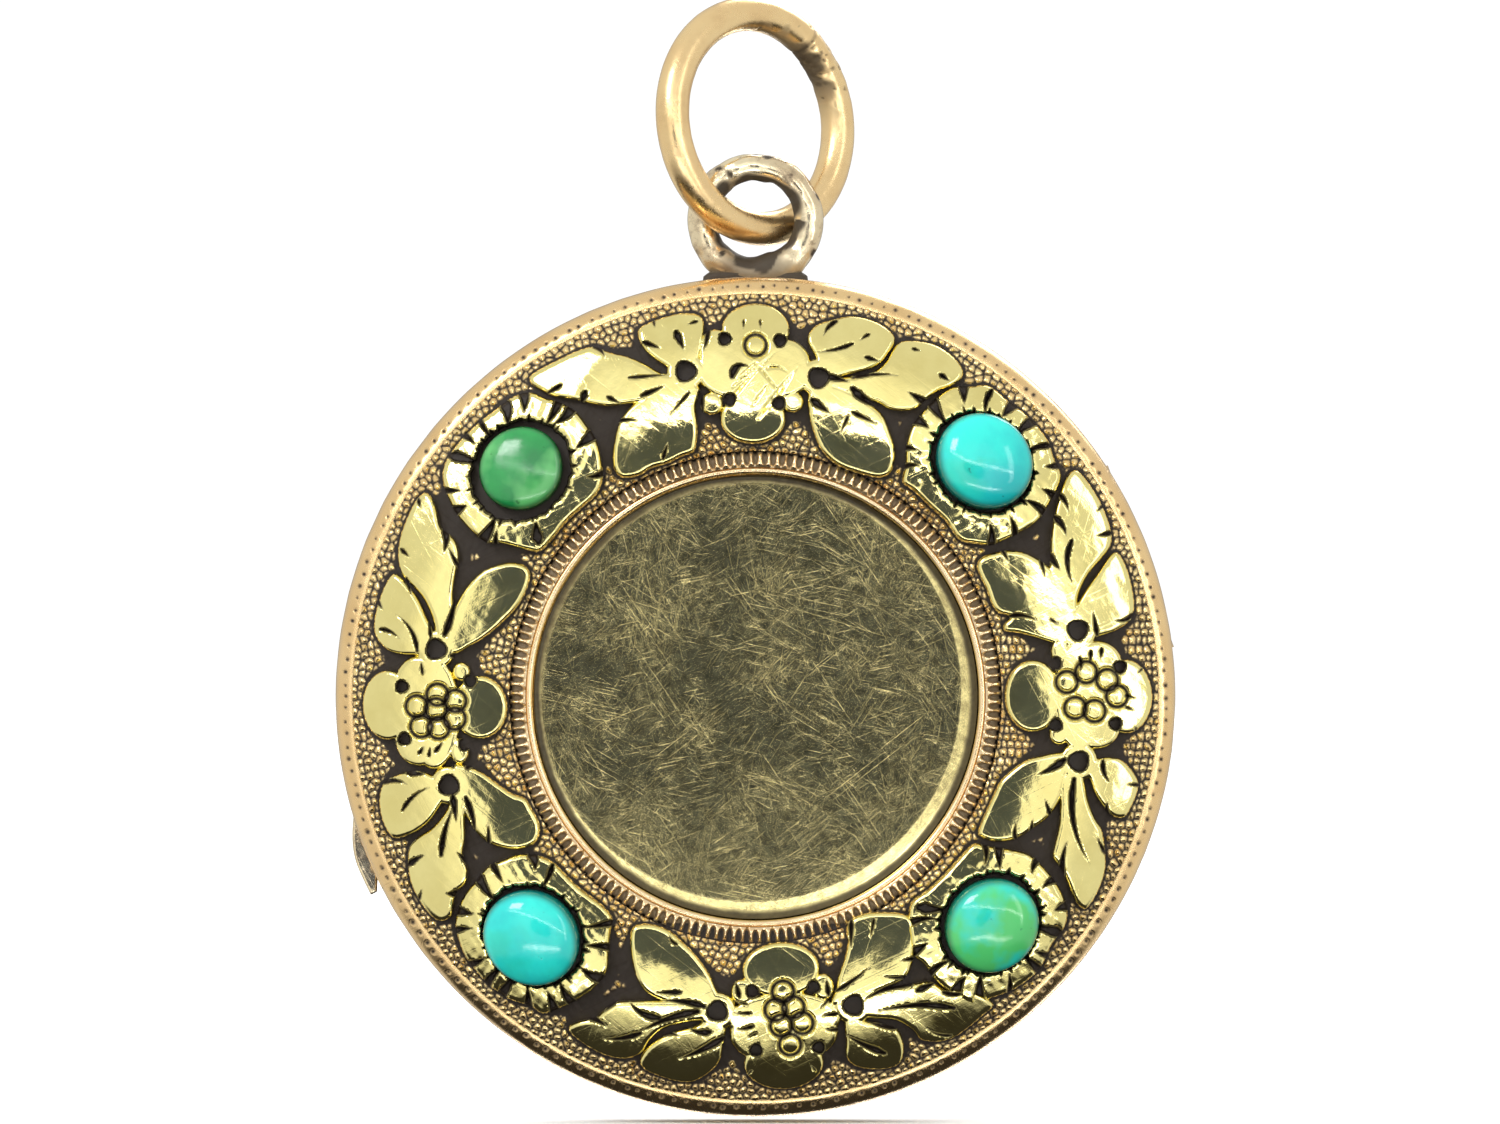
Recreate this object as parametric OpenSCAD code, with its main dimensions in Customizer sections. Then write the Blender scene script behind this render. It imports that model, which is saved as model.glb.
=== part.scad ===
// Round hinged locket: two case halves, four flower sprays, four cabochons in collets, a loop and a
// jump ring. Each piece is drawn lying on its back, face up, with h as its height over the flat back.
// stand() then turns it upright: the face looks along -Y, the loop points to +Z and h runs along -Y.

/* [Case] */
// Outer radius of both case halves
case_r = 13; // [12.9:0.05:13.1]
// Thickness of the back half, from its flat back to the parting line
back_h = 2.3; // [2.25:0.05:2.35]
// Gap between the closed halves
parting_gap = 0.1; // [0.08:0.01:0.12]
// Height at which the front rim is widest
rim_mid_h = 3.15; // [3.1:0.05:3.2]
// Thickness of the back plate
floor_t = 0.5; // [0.4:0.05:0.6]
// Inner radius of both side walls
wall_r = 11.3; // [11.2:0.05:11.35]

/* [Dome of the front] */
// Radius of the circle that the crest of the dome follows
crest_r = 8.2; // [8.1:0.05:8.3]
// Height of the crest
crest_h = 4.95; // [4.9:0.05:5]
// Bending radius of the dome, across the crest
dome_bend_r = 9; // [8.8:0.1:9.2]
// Thickness of the domed sheet
shell_t = 0.45; // [0.4:0.05:0.5]
// How far the leaves stand out of the ground
leaf_lift = 0.35; // [0.3:0.05:0.4]
// How far the collets stand out of the ground
collet_lift = 0.5; // [0.45:0.05:0.55]

/* [Centre] */
// Radius of the dished centre plate
plate_r = 6.9; // [6.8:0.05:6.95]
// Height of the plate's flat middle
plate_h = 3.95; // [3.9:0.05:4]
// Radius of the flat middle
plate_flat_r = 6.3; // [6.2:0.05:6.35]
// Radius of the cove round the flat middle
cove_r = 0.6; // [0.55:0.01:0.62]
// Radius of the circle that the milgrain ring follows
milgrain_r = 7.3; // [7.28:0.01:7.32]
// Half of the milgrain ring's width
milgrain_half_w = 0.3; // [0.25:0.01:0.3]

/* [Stones] */
// Radius of the circle on which the stones sit
stone_place_r = 10.05; // [10:0.05:10.1]
// Radius of a stone
stone_r = 1.53; // [1.45:0.01:1.55]
// Radius of the stone in the upper left collet
small_stone_r = 1.38; // [1.3:0.01:1.45]
// Height of a stone
stone_t = 1.45; // [1.3:0.05:1.6]
// Height of the stone in the upper left collet
small_stone_t = 0.9; // [0.8:0.05:1]
// Depth of the stone seats
seat_depth = 0.2; // [0.18:0.01:0.22]
// Radius of the stone seats
seat_r = 1.66; // [1.62:0.01:1.7]
// Outer radius of the collets
collet_r = 2.3; // [2.2:0.05:2.3]
// Length of the notches between a collet's leaves
notch_l = 0.35; // [0.25:0.05:0.4]
// Width of those notches
notch_w = 0.16; // [0.12:0.02:0.2]

/* [Hinge] */
// Direction of the hinge, counted from +X towards +Z
hinge_angle = 20; // [15:1:25]
// Distance of the hinge axis from the middle of the case
hinge_d = 12.2; // [12.15:0.01:12.25]
// Height of the hinge axis
hinge_h = 1.8; // [1.78:0.01:1.82]
// Outer radius of the knuckles
knuckle_r = 0.54; // [0.52:0.01:0.55]
// Half of the hinge's length
hinge_half_l = 3; // [2.8:0.1:3.2]
// Half of the middle knuckle's length
middle_half_l = 1; // [0.9:0.05:1.1]
// Radius of the hinge pin
pin_r = 0.22; // [0.2:0.01:0.24]
// Clearance round the pin in the middle knuckle
pin_clearance = 0.04; // [0.03:0.01:0.06]

/* [Frames inside] */
// Gap between a bezel and the side wall
bezel_gap = 0.03; // [0.02:0.01:0.05]
// Radius of the opening in a bezel
bezel_open_r = 10.3; // [10.1:0.05:10.4]
// Radius of the glass discs and the cards
glass_r = 10.9; // [10.8:0.05:10.95]
// Thickness of a glass disc
glass_t = 0.3; // [0.25:0.01:0.32]
// Thickness of a card
card_t = 0.4; // [0.35:0.01:0.42]

/* [Thumb lip] */
// How far the lip stands out of the rim
lip_out = 0.42; // [0.3:0.02:0.5]
// Thickness of the lip
lip_t = 0.22; // [0.18:0.02:0.26]

/* [Loop and ring] */
// Distance of the loop's centre from the middle of the case
loop_z = 14.8; // [14.75:0.01:14.85]
// Mean radius of the loop
loop_r = 1.66; // [1.65:0.01:1.68]
// Radius of the loop's wire
loop_wire_r = 0.46; // [0.42:0.01:0.46]
// Width of the loop's foot
foot_w = 3.3; // [3:0.1:3.5]
// Mean radius of the jump ring
ring_r = 3.36; // [3.3:0.02:3.4]
// Radius of the jump ring's wire
ring_wire_r = 0.53; // [0.45:0.01:0.53]
// Distance of the ring's turning point from the middle of the case
ring_pivot_z = 14.55; // [14.5:0.01:14.6]
// Turn of the ring out of the plane of the loop
ring_turn = 40; // [40:1:90]
// Lean of the ring towards the back
ring_lean = 6.7; // [5:0.1:8]

/* [Hidden] */
$fn = 96;

// Places round the face, in degrees from +X towards the loop
SPRAY_RIGHT = 0.4;
SPRAY_TOP = 90;
SPRAY_LEFT = 181;
SPRAY_BOTTOM = 272.5;
STONE_UPPER_RIGHT = 46;
STONE_UPPER_LEFT = 136;
STONE_LOWER_LEFT = 227;
STONE_LOWER_RIGHT = 316;
LIP_START = 196.5;
LIP_JOINED = 203;
LIP_END = 207.5;

GOLD = "#d9b27c";
GREEN_GOLD = "#d8cc84";
POLISHED_GOLD = "#b59a62";
PALE_GOLD = "#b8a67e";
TURQUOISE = "#28d0c8";
GREEN_STONE = "#2f9458";

STEPS = 8;                              // facets in each rounded stretch of an outline
front_h = back_h + parting_gap;         // underside of the front half
loop_h = back_h / 2;                    // height of the loop's middle
ground_in_r = 7.65;                     // inner edge of the punched ground
ground_out_r = 12.45;                   // outer edge of the punched ground
shoulder_h = 4.55;                      // step that carries the milgrain ring
plate_bottom_h = 3.65;
ledge_r = 6.2;                          // inner edge of the ledge under the plate
ledge_t = 0.15;
back_bead_w = 0.9;                      // width of the back rim's roundings
back_round_h = 0.6;                     // height of each of them
front_bead_w = 0.8;                     // width of the front rim's lower rounding
bezel_lip_t = 0.3;
frame_depth = bezel_lip_t + glass_t + card_t;
frame_inset = 0.05;                     // how far the bezels lie below the parting faces
card_rest_r = 10.6;                     // inner edge of the step behind each card
back_frame_h = back_h - frame_inset;
front_frame_h = front_h + frame_inset;
chord_u = 0.05;                         // flat on the back rim, outward of the hinge axis
knuckle_gap = 0.06;
swing_r = knuckle_r + 0.07;             // room round the middle knuckle
foot_top = 13.25;                       // how far the foot reaches from the middle of the case
foot_t = 1;
over = 1;                               // how far a cutting shape reaches past the cut
tall = 2 * crest_h;                     // height of a blank that the dome's layer trims
lip_in = 0.4;                           // how far the lip reaches under the rim
lip_split = 0.62;                       // how far its free end stands off
lip_rise = 7;                           // degrees over which it widens
lip_below = 0.02;

// Height of the punched ground at radius r
function dome_h(r) = crest_h - dome_bend_r + sqrt(pow(dome_bend_r, 2) - pow(r - crest_r, 2));

// Points along the ground between two radii, raised by lift
function dome_points(r0, r1, lift = 0) =
    [for (i = [0 : STEPS]) let (r = r0 + (r1 - r0) * i / STEPS) [r, dome_h(r) + lift]];

// Points on an ellipse's arc from angle a0 to a1
function arc_points(centre, rx, ry, a0, a1) =
    [for (i = [0 : STEPS]) let (a = a0 + (a1 - a0) * i / STEPS)
        [centre[0] + rx * cos(a), centre[1] + ry * sin(a)]];

// Outline of a leaf lobe from its base to its tip, widest a little past its middle
function lobe_points(base, tip, width) =
    let (along = tip - base, side = [-along[1], along[0]] / norm(along), n = STEPS + 2)
    concat(
        [for (i = [0 : n]) base + along * i / n + side * width / 2 * sin(180 * pow(i / n, 1.3))],
        [for (i = [n - 1 : -1 : 1]) base + along * i / n - side * width / 2 * sin(180 * pow(i / n, 1.3))]
    );

module stand() rotate([90, 0, 0]) children();

// u runs outward, s along the hinge axis, and the third axis towards the face
module at_hinge() rotate([0, 0, hinge_angle]) translate([hinge_d, 0, hinge_h]) children();

module along_hinge(r, half_l) rotate([90, 0, 0]) cylinder(r = r, h = 2 * half_l, center = true);

// The third axis stands square on the dome
module at_stone(angle)
    rotate([0, 0, angle]) translate([stone_place_r, 0, dome_h(stone_place_r)])
        rotate([0, asin((stone_place_r - crest_r) / dome_bend_r), 0]) children();

// ---- Back half ----

// Outer shape of the back half, filled: a straight band between two rounded edges
module back_blank()
    rotate_extrude()
        polygon(concat(
            [[0, back_h], [0, 0]],
            arc_points([case_r - back_bead_w, back_round_h], back_bead_w, back_round_h, -90, 0),
            arc_points([case_r - back_bead_w, back_h - back_round_h], back_bead_w, back_round_h, 0, 90)
        ));

module back_cover()
    color(GOLD) stand() difference() {
        back_blank();
        translate([0, 0, back_frame_h - frame_depth]) cylinder(r = wall_r, h = frame_depth + over);
        translate([0, 0, floor_t]) cylinder(r = card_rest_r, h = back_h);
        hinge_seat();
    }

// Room for the hinge in the back half: a flat across the rim and a groove for the knuckles
module hinge_seat()
    at_hinge() {
        translate([chord_u, -case_r / 2, -hinge_h - over]) cube([case_r, case_r, back_h + 2 * over]);
        along_hinge(knuckle_r, hinge_half_l);
        along_hinge(swing_r, middle_half_l + knuckle_gap);
        translate([-swing_r, -middle_half_l - knuckle_gap, 0])
            cube([2 * swing_r, 2 * (middle_half_l + knuckle_gap), back_h]);
    }

module back_bezel() color(GOLD) stand() translate([0, 0, back_frame_h]) mirror([0, 0, 1]) bezel();

module back_glass()
    color("azure", 0.35) stand() translate([0, 0, back_frame_h - bezel_lip_t - glass_t]) glass();

module back_card() color("ivory") stand() translate([0, 0, back_frame_h - frame_depth]) card();

module hinge_knuckles_back()
    color(GOLD) stand() at_hinge() difference() {
        along_hinge(knuckle_r, hinge_half_l);
        cube([2 * case_r, 2 * (middle_half_l + knuckle_gap), 2 * case_r], center = true);
        along_hinge(pin_r, hinge_half_l + over);
    }

module hinge_pin() color(PALE_GOLD) stand() at_hinge() along_hinge(pin_r, hinge_half_l);

module pendant_foot()
    color(PALE_GOLD) stand() difference() {
        translate([0, 0, loop_h - foot_t / 2])
            linear_extrude(foot_t)
                polygon([[-foot_w / 2, 12], [foot_w / 2, 12], [foot_w / 2, 13],
                         [foot_w / 3, foot_top], [-foot_w / 3, foot_top], [-foot_w / 2, 13]]);
        cylinder(r = case_r, h = back_h, $fn = 360);
    }

module pendant_loop()
    color(PALE_GOLD) stand() intersection() {
        translate([0, loop_z, loop_h]) rotate_extrude() translate([loop_r, 0]) circle(loop_wire_r);
        translate([-case_r, foot_top, 0]) cube([2 * case_r, case_r, back_h]);
    }

// ---- Frames that hold the pictures, drawn with the lip down ----

module bezel()
    difference() {
        cylinder(r = wall_r - bezel_gap, h = frame_depth);
        translate([0, 0, bezel_lip_t]) cylinder(r = glass_r + bezel_gap, h = frame_depth);
        translate([0, 0, -over]) cylinder(r = bezel_open_r, h = frame_depth + over);
    }

module glass() cylinder(r = glass_r, h = glass_t);

module card() cylinder(r = glass_r, h = card_t);

// ---- Front half ----

// Outline of the front's outer surface, from the underside of the rim to the step round the middle
function front_skin() = concat(
    arc_points([case_r - front_bead_w, rim_mid_h], front_bead_w, rim_mid_h - front_h, -90, 0),
    [for (p = arc_points([ground_out_r, rim_mid_h], case_r - ground_out_r,
                         dome_h(ground_out_r) - rim_mid_h, 0, 90)) if (p[0] < case_r) p],
    [for (p = dome_points(ground_out_r, ground_in_r)) if (p[0] < ground_out_r) p]
);

module front_cover()
    color(GOLD) stand() difference() {
        rotate_extrude()
            polygon(concat(
                front_skin(),
                [[ground_in_r, shoulder_h], [plate_r, shoulder_h], [plate_r, plate_bottom_h],
                 [ledge_r, plate_bottom_h], [ledge_r, plate_bottom_h - ledge_t],
                 [7.4, plate_bottom_h - ledge_t]],
                dome_points(7.8, card_rest_r, -shell_t),
                [[card_rest_r, front_frame_h + frame_depth], [wall_r, front_frame_h + frame_depth],
                 [wall_r, front_h]]
            ));
        for (angle = [STONE_UPPER_RIGHT, STONE_UPPER_LEFT, STONE_LOWER_LEFT, STONE_LOWER_RIGHT])
            at_stone(angle) translate([0, 0, -seat_depth]) cylinder(r = seat_r, h = over);
    }

module centre_plate()
    color(POLISHED_GOLD) stand()
        rotate_extrude()
            polygon(concat(
                [[0, plate_bottom_h], [plate_r, plate_bottom_h], [plate_r, plate_h + cove_r * 0.6]],
                [for (a = [66 : -11 : 0]) [plate_flat_r + cove_r * sin(a), plate_h + cove_r * (1 - cos(a))]],
                [[0, plate_h]]
            ));

module milgrain_ring()
    color(POLISHED_GOLD) stand()
        rotate_extrude()
            polygon(concat(
                [[milgrain_r - milgrain_half_w, shoulder_h], [milgrain_r + milgrain_half_w, shoulder_h]],
                arc_points([milgrain_r, shoulder_h + 0.15], milgrain_half_w, 0.35, 0, 180)
            ));

// Layer that lies on the dome, as thick as lift
module dome_layer(lift)
    rotate_extrude()
        polygon(concat(
            dome_points(ground_in_r + 0.05, ground_out_r - 0.05),
            dome_points(ground_out_r - 0.05, ground_in_r + 0.05, lift)
        ));

// Flower between two three-lobed leaves, seen from the front, with the case's middle below it
module spray_blank() {
    translate([0, 11.15, 0]) cylinder(r = 1, h = tall);
    translate([0, 10, 0]) cylinder(r = 1.3, h = tall);
    translate([0, 8.75, 0]) cylinder(r = 1.05, h = tall);
    for (side = [0, 1]) mirror([side, 0, 0]) {
        translate([1, 10.3, 0]) cylinder(r = 0.8, h = tall);
        translate([2, 9.95, 0]) cylinder(r = 0.62, h = tall);
        lobe([1.5, 9.6], [3.4, 11.75], 1.9);
        lobe([1.7, 9.9], [6.75, 10.05], 1.6);
        lobe([1.5, 10.1], [4.1, 7.1], 2.1);
    }
}

module lobe(base, tip, width) linear_extrude(tall) polygon(lobe_points(base, tip, width));

module spray(angle)
    color(GREEN_GOLD) stand() intersection() {
        rotate([0, 0, angle - 90]) spray_blank();
        dome_layer(leaf_lift);
    }

module spray_right() spray(SPRAY_RIGHT);
module spray_top() spray(SPRAY_TOP);
module spray_left() spray(SPRAY_LEFT);
module spray_bottom() spray(SPRAY_BOTTOM);

// Ring of short leaves round a stone, with notches between the leaves
module collet(angle)
    color(GREEN_GOLD) stand() intersection() {
        at_stone(angle) difference() {
            cylinder(r = collet_r, h = 4 * over, center = true);
            cylinder(r = seat_r, h = 6 * over, center = true);
            for (turn = [15 : 30 : 345])
                rotate([0, 0, turn]) translate([collet_r - notch_l, -notch_w / 2, -3 * over])
                    cube([over, notch_w, 6 * over]);
        }
        dome_layer(collet_lift);
    }

module collet_upper_right() collet(STONE_UPPER_RIGHT);
module collet_upper_left() collet(STONE_UPPER_LEFT);
module collet_lower_left() collet(STONE_LOWER_LEFT);
module collet_lower_right() collet(STONE_LOWER_RIGHT);

// Domed stone on a short straight girdle
module cabochon(angle, r, t)
    stand() at_stone(angle) translate([0, 0, -seat_depth])
        rotate_extrude()
            polygon(concat([[0, 0], [r - 0.08, 0], [r, 0.08]],
                arc_points([0, t * 0.35], r, t * 0.65, 0, 90)));

module stone_upper_right() color(TURQUOISE) cabochon(STONE_UPPER_RIGHT, stone_r, stone_t);
module stone_upper_left() color(GREEN_STONE) cabochon(STONE_UPPER_LEFT, small_stone_r, small_stone_t);
module stone_lower_left() color(TURQUOISE) cabochon(STONE_LOWER_LEFT, stone_r, stone_t);
module stone_lower_right() color(TURQUOISE) cabochon(STONE_LOWER_RIGHT, stone_r, stone_t);

module hinge_knuckle_front()
    color(GOLD) stand() at_hinge() difference() {
        union() {
            along_hinge(knuckle_r, middle_half_l);
            translate([-0.45, -middle_half_l, 0])
                cube([0.43, 2 * middle_half_l, front_h - hinge_h]);
        }
        along_hinge(pin_r + pin_clearance, middle_half_l + over);
    }

// Thin crescent under the front rim, joined to it at one end and free at the other
function lip_outer_r(a) = case_r + lip_out * sin(90 * min(1, (a - LIP_START) / lip_rise));
function lip_inner_r(a) =
    case_r - lip_in + lip_split * max(0, a - LIP_JOINED) / (LIP_END - LIP_JOINED);

module thumb_lip()
    color(PALE_GOLD) stand() difference() {
        translate([0, 0, front_h + lip_below])
            linear_extrude(lip_t)
                polygon(concat(
                    [for (a = [LIP_START : 1 : LIP_END]) lip_outer_r(a) * [cos(a), sin(a)]],
                    [for (a = [LIP_END : -0.5 : LIP_START]) lip_inner_r(a) * [cos(a), sin(a)]]
                ));
        rotate_extrude() polygon(concat([[0, front_h]], front_skin(), [[0, crest_h]]));
    }

module front_bezel() color(GOLD) stand() translate([0, 0, front_frame_h]) bezel();

module front_glass()
    color("azure", 0.35) stand() translate([0, 0, front_frame_h + bezel_lip_t]) glass();

module front_card()
    color("ivory") stand() translate([0, 0, front_frame_h + frame_depth - card_t]) card();

// ---- Jump ring, linked through the loop ----

module jump_ring()
    color(GOLD)
        translate([0, -loop_h, ring_pivot_z])
            rotate([-ring_lean, 0, 0]) rotate([0, 0, ring_turn])
                translate([0, 0, ring_r]) rotate([90, 0, 0])
                    rotate_extrude() translate([ring_r, 0]) circle(ring_wire_r);

back_cover();
back_bezel();
back_glass();
back_card();
hinge_knuckles_back();
hinge_pin();
pendant_foot();
pendant_loop();
front_cover();
centre_plate();
milgrain_ring();
spray_right();
spray_top();
spray_left();
spray_bottom();
collet_upper_right();
collet_upper_left();
collet_lower_left();
collet_lower_right();
stone_upper_right();
stone_upper_left();
stone_lower_left();
stone_lower_right();
hinge_knuckle_front();
thumb_lip();
front_bezel();
front_glass();
front_card();
jump_ring();
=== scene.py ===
from math import asin, cos, pi, radians, sin, sqrt

import bmesh
import bpy
import numpy as np
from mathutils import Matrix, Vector

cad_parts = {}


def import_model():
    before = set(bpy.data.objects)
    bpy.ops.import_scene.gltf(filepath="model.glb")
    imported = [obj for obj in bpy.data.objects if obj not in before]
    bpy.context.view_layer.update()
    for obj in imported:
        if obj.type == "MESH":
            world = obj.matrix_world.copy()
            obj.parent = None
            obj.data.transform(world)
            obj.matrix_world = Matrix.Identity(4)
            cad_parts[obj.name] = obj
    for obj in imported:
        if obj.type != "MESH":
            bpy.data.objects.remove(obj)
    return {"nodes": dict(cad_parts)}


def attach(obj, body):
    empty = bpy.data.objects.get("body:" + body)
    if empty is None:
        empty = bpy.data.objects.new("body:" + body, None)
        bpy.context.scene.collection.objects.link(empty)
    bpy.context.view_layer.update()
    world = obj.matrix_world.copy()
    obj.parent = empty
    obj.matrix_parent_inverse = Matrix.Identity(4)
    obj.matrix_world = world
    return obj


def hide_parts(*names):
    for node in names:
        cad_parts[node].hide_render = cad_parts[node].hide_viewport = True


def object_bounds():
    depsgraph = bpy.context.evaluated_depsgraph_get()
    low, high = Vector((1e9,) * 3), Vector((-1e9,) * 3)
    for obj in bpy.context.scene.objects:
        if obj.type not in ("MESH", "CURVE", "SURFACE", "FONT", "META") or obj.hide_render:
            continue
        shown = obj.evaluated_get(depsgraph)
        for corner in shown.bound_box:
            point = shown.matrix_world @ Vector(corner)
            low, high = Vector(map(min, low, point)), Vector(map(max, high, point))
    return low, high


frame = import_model()
cad_low, cad_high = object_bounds()

# Each piece is shaped lying flat, in millimetres: x to the right, y towards the loop and h towards the
# face. world() stands it up: the face looks along -Y.
MM = 0.001
DETAIL = 0.042   # size of a triangle in the carved pieces

# The case, as in the CAD model
CASE_R = 13.0
FRONT_H = 2.4          # underside of the front half
RIM_MID_H = 3.15
RIM_ARC_W = 0.55
FRONT_BEAD_W = 0.8
CREST_R = 8.2
CREST_H = 4.95
DOME_BEND_R = 9.0
SHELL_T = 0.45
GROUND_IN_R = 7.65
GROUND_OUT_R = 12.45
SHOULDER_H = 4.55
PLATE_R = 6.9
PLATE_BOTTOM_H = 3.65
PLATE_H = 3.95
PLATE_FLAT_R = 6.53    # mean radius of its flat part
PLATE_SHIFT = 0.26     # how far the flat part lies to the upper left
PLATE_EDGE_R = 6.85    # top of its upturned edge
PLATE_SHADE_R = 6.55    # painted shade darkens the plate from here outward
LEDGE_R = 6.2
LEDGE_T = 0.15
WALL_R = 11.3
CARD_REST_R = 10.6
FRAME_TOP_H = 3.45     # where the front card rests
STONE_PLACE_R = 10.05
LOOP_Z = 14.8
LOOP_H = 1.15
LOOP_R = 1.66
LOOP_WIRE_R = 0.46
RING_R = 3.36
RING_WIRE_R = 0.53
RING_PIVOT_Z = 14.55
RING_TURN = 40
RING_LEAN = 6.7

LEAF_LIFT = 0.35
COLLET_LIFT = 0.5


def world(flat, h):
    """Points in metres, standing up, from flat places in mm and heights in mm."""
    flat = np.asarray(flat, dtype=float)
    return np.column_stack((flat[:, 0], -np.broadcast_to(h, len(flat)), flat[:, 1])) * MM


def dome_h(r):
    """Height of the punched ground at radius r."""
    return CREST_H - DOME_BEND_R + np.sqrt(DOME_BEND_R ** 2 - (np.asarray(r) - CREST_R) ** 2)


def smooth_step(low, high, value):
    t = np.clip((value - low) / (high - low), 0, 1)
    return t * t * (3 - 2 * t)


def ripple(points, size, seed, count=9):
    """Gentle unevenness between about -1 and 1, with waves of about the given length in mm."""
    rng = np.random.default_rng(seed)
    total = np.zeros(len(points))
    for _ in range(count):
        angle = rng.uniform(0, 2 * pi)
        rate = 2 * pi / size * rng.uniform(0.6, 1.6)
        phase = rng.uniform(0, 2 * pi)
        total += np.sin((points[:, 0] * cos(angle) + points[:, 1] * sin(angle)) * rate + phase)
    return total / sqrt(count)


# ---- Outlines and distances ----

def smooth_loop(points, steps=4):
    """A closed curve through the points."""
    p = np.array(points, dtype=float)
    before, after, beyond = np.roll(p, 1, axis=0), np.roll(p, -1, axis=0), np.roll(p, -2, axis=0)
    rows = []
    for t in np.arange(steps) / steps:
        rows.append(0.5 * (2 * p + (after - before) * t
                           + (2 * before - 5 * p + 4 * after - beyond) * t ** 2
                           + (3 * p - before - 3 * after + beyond) * t ** 3))
    return np.stack(rows, axis=1).reshape(-1, 2)


def ellipse_loop(u, v, half_u, half_v, count=40):
    angles = np.arange(count) * 2 * pi / count
    return np.column_stack((u + half_u * np.cos(angles), v + half_v * np.sin(angles)))


def segment_distance(points, start, end):
    """Distance to a segment, and how far along it the nearest place is, from 0 to 1."""
    along = end - start
    t = np.clip((points - start) @ along / (along @ along), 0, 1)
    return np.linalg.norm(points - start - t[:, None] * along, axis=1), t


REACH = 0.9             # distances to outlines are exact up to this


def loop_distance(points, loop):
    """Signed distance to a closed outline, negative inside. Beyond REACH it is only a rough value."""
    low, high = loop.min(axis=0), loop.max(axis=0)
    away = np.maximum(np.maximum(low - points, points - high), 0)
    out = np.linalg.norm(away, axis=1) + 0.3
    near = out < REACH + 0.3
    p = points[near]
    if not len(p):
        return out
    a, b = loop, np.roll(loop, -1, axis=0)
    best = np.full(len(p), 1e9)
    inside = np.zeros(len(p), dtype=bool)
    for start, end in zip(a, b):
        along = end - start
        rel = p - start
        t = np.clip(rel @ along / (along @ along), 0, 1)
        best = np.minimum(best, ((rel - t[:, None] * along) ** 2).sum(axis=1))
        if start[1] != end[1]:
            crosses = (start[1] > p[:, 1]) != (end[1] > p[:, 1])
            inside ^= crosses & (p[:, 0] < along[0] * (p[:, 1] - start[1]) / along[1] + start[0])
    out[near] = np.sqrt(best) * np.where(inside, -1, 1)
    return out


def union_distance(points, loops):
    return np.min([loop_distance(points, loop) for loop in loops], axis=0)


# ---- Meshes ----

def triangle_grid(box, step):
    """Points in staggered rows over a box, and the triangles between them."""
    low_x, low_y, high_x, high_y = box
    row = step * sqrt(3) / 2
    columns = int((high_x - low_x) / step) + 2
    rows = int((high_y - low_y) / row) + 2
    j, i = np.mgrid[0:rows, 0:columns]
    points = np.column_stack(((low_x + (i + 0.5 * (j % 2)) * step).ravel(), (low_y + j * row).ravel()))
    index = j * columns + i
    a, b, c, d = index[:-1, :-1], index[:-1, 1:], index[1:, :-1], index[1:, 1:]
    even = (j[:-1, :-1] % 2 == 0)[..., None]
    first = np.where(even, np.stack((a, b, c), -1), np.stack((a, d, c), -1))
    second = np.where(even, np.stack((b, d, c), -1), np.stack((a, b, d), -1))
    return points, np.concatenate((first.reshape(-1, 3), second.reshape(-1, 3)))


def cut_to_shape(distance, box, step):
    """Triangles that fill a shape given by its signed distance, with their edges on its outline."""
    points, triangles = triangle_grid(box, step)
    d = distance(points)
    triangles = triangles[(d[triangles] < 0).any(axis=1)]
    used = np.unique(triangles)
    near = used[np.abs(d[used]) < 0.3 * step]
    tiny = 1e-4
    slope = np.column_stack([(distance(points[near] + e) - d[near]) / tiny
                             for e in (np.array([tiny, 0]), np.array([0, tiny]))])
    size = np.maximum((slope ** 2).sum(axis=1), 0.2)
    points[near] -= (d[near] / size)[:, None] * slope
    d[near] = 0
    side = np.sign(d)[triangles]
    whole = (side.max(axis=1) <= 0) & (side.min(axis=1) < 0)
    cut = triangles[(side.max(axis=1) > 0) & (side.min(axis=1) < 0)]
    side = np.sign(d)[cut]
    lone = np.where((side < 0).sum(axis=1) == 2, 1, -1)
    for _ in range(2):
        turn = side[:, 0] != lone
        cut[turn] = np.roll(cut[turn], -1, axis=1)
        side[turn] = np.roll(side[turn], -1, axis=1)
    pairs = []
    for k in (1, 2):
        crossing = side[:, 0] * side[:, k] < 0
        pairs.append(np.sort(cut[crossing][:, [0, k]], axis=1))
    edges, place = np.unique(np.concatenate(pairs), axis=0, return_inverse=True)
    place = place.ravel() + len(points)
    t = d[edges[:, 0]] / (d[edges[:, 0]] - d[edges[:, 1]])
    middle = points[edges[:, 0]] + t[:, None] * (points[edges[:, 1]] - points[edges[:, 0]])
    first, second = cut[:, 1].copy(), cut[:, 2].copy()
    crossing_1, crossing_2 = side[:, 0] * side[:, 1] < 0, side[:, 0] * side[:, 2] < 0
    first[crossing_1] = place[:len(pairs[0])]
    second[crossing_2] = place[len(pairs[0]):]
    corner = lone == -1
    parts = [triangles[whole], np.column_stack((cut[:, 0], first, second))[corner]]
    quad = ~corner
    parts.append(np.column_stack((first, cut[:, 1], cut[:, 2]))[quad])
    parts.append(np.column_stack((first, cut[:, 2], second))[quad])
    triangles = np.concatenate(parts)
    points = np.concatenate((points, middle))
    used, triangles = np.unique(triangles, return_inverse=True)
    return points[used], triangles.reshape(-1, 3)


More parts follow.
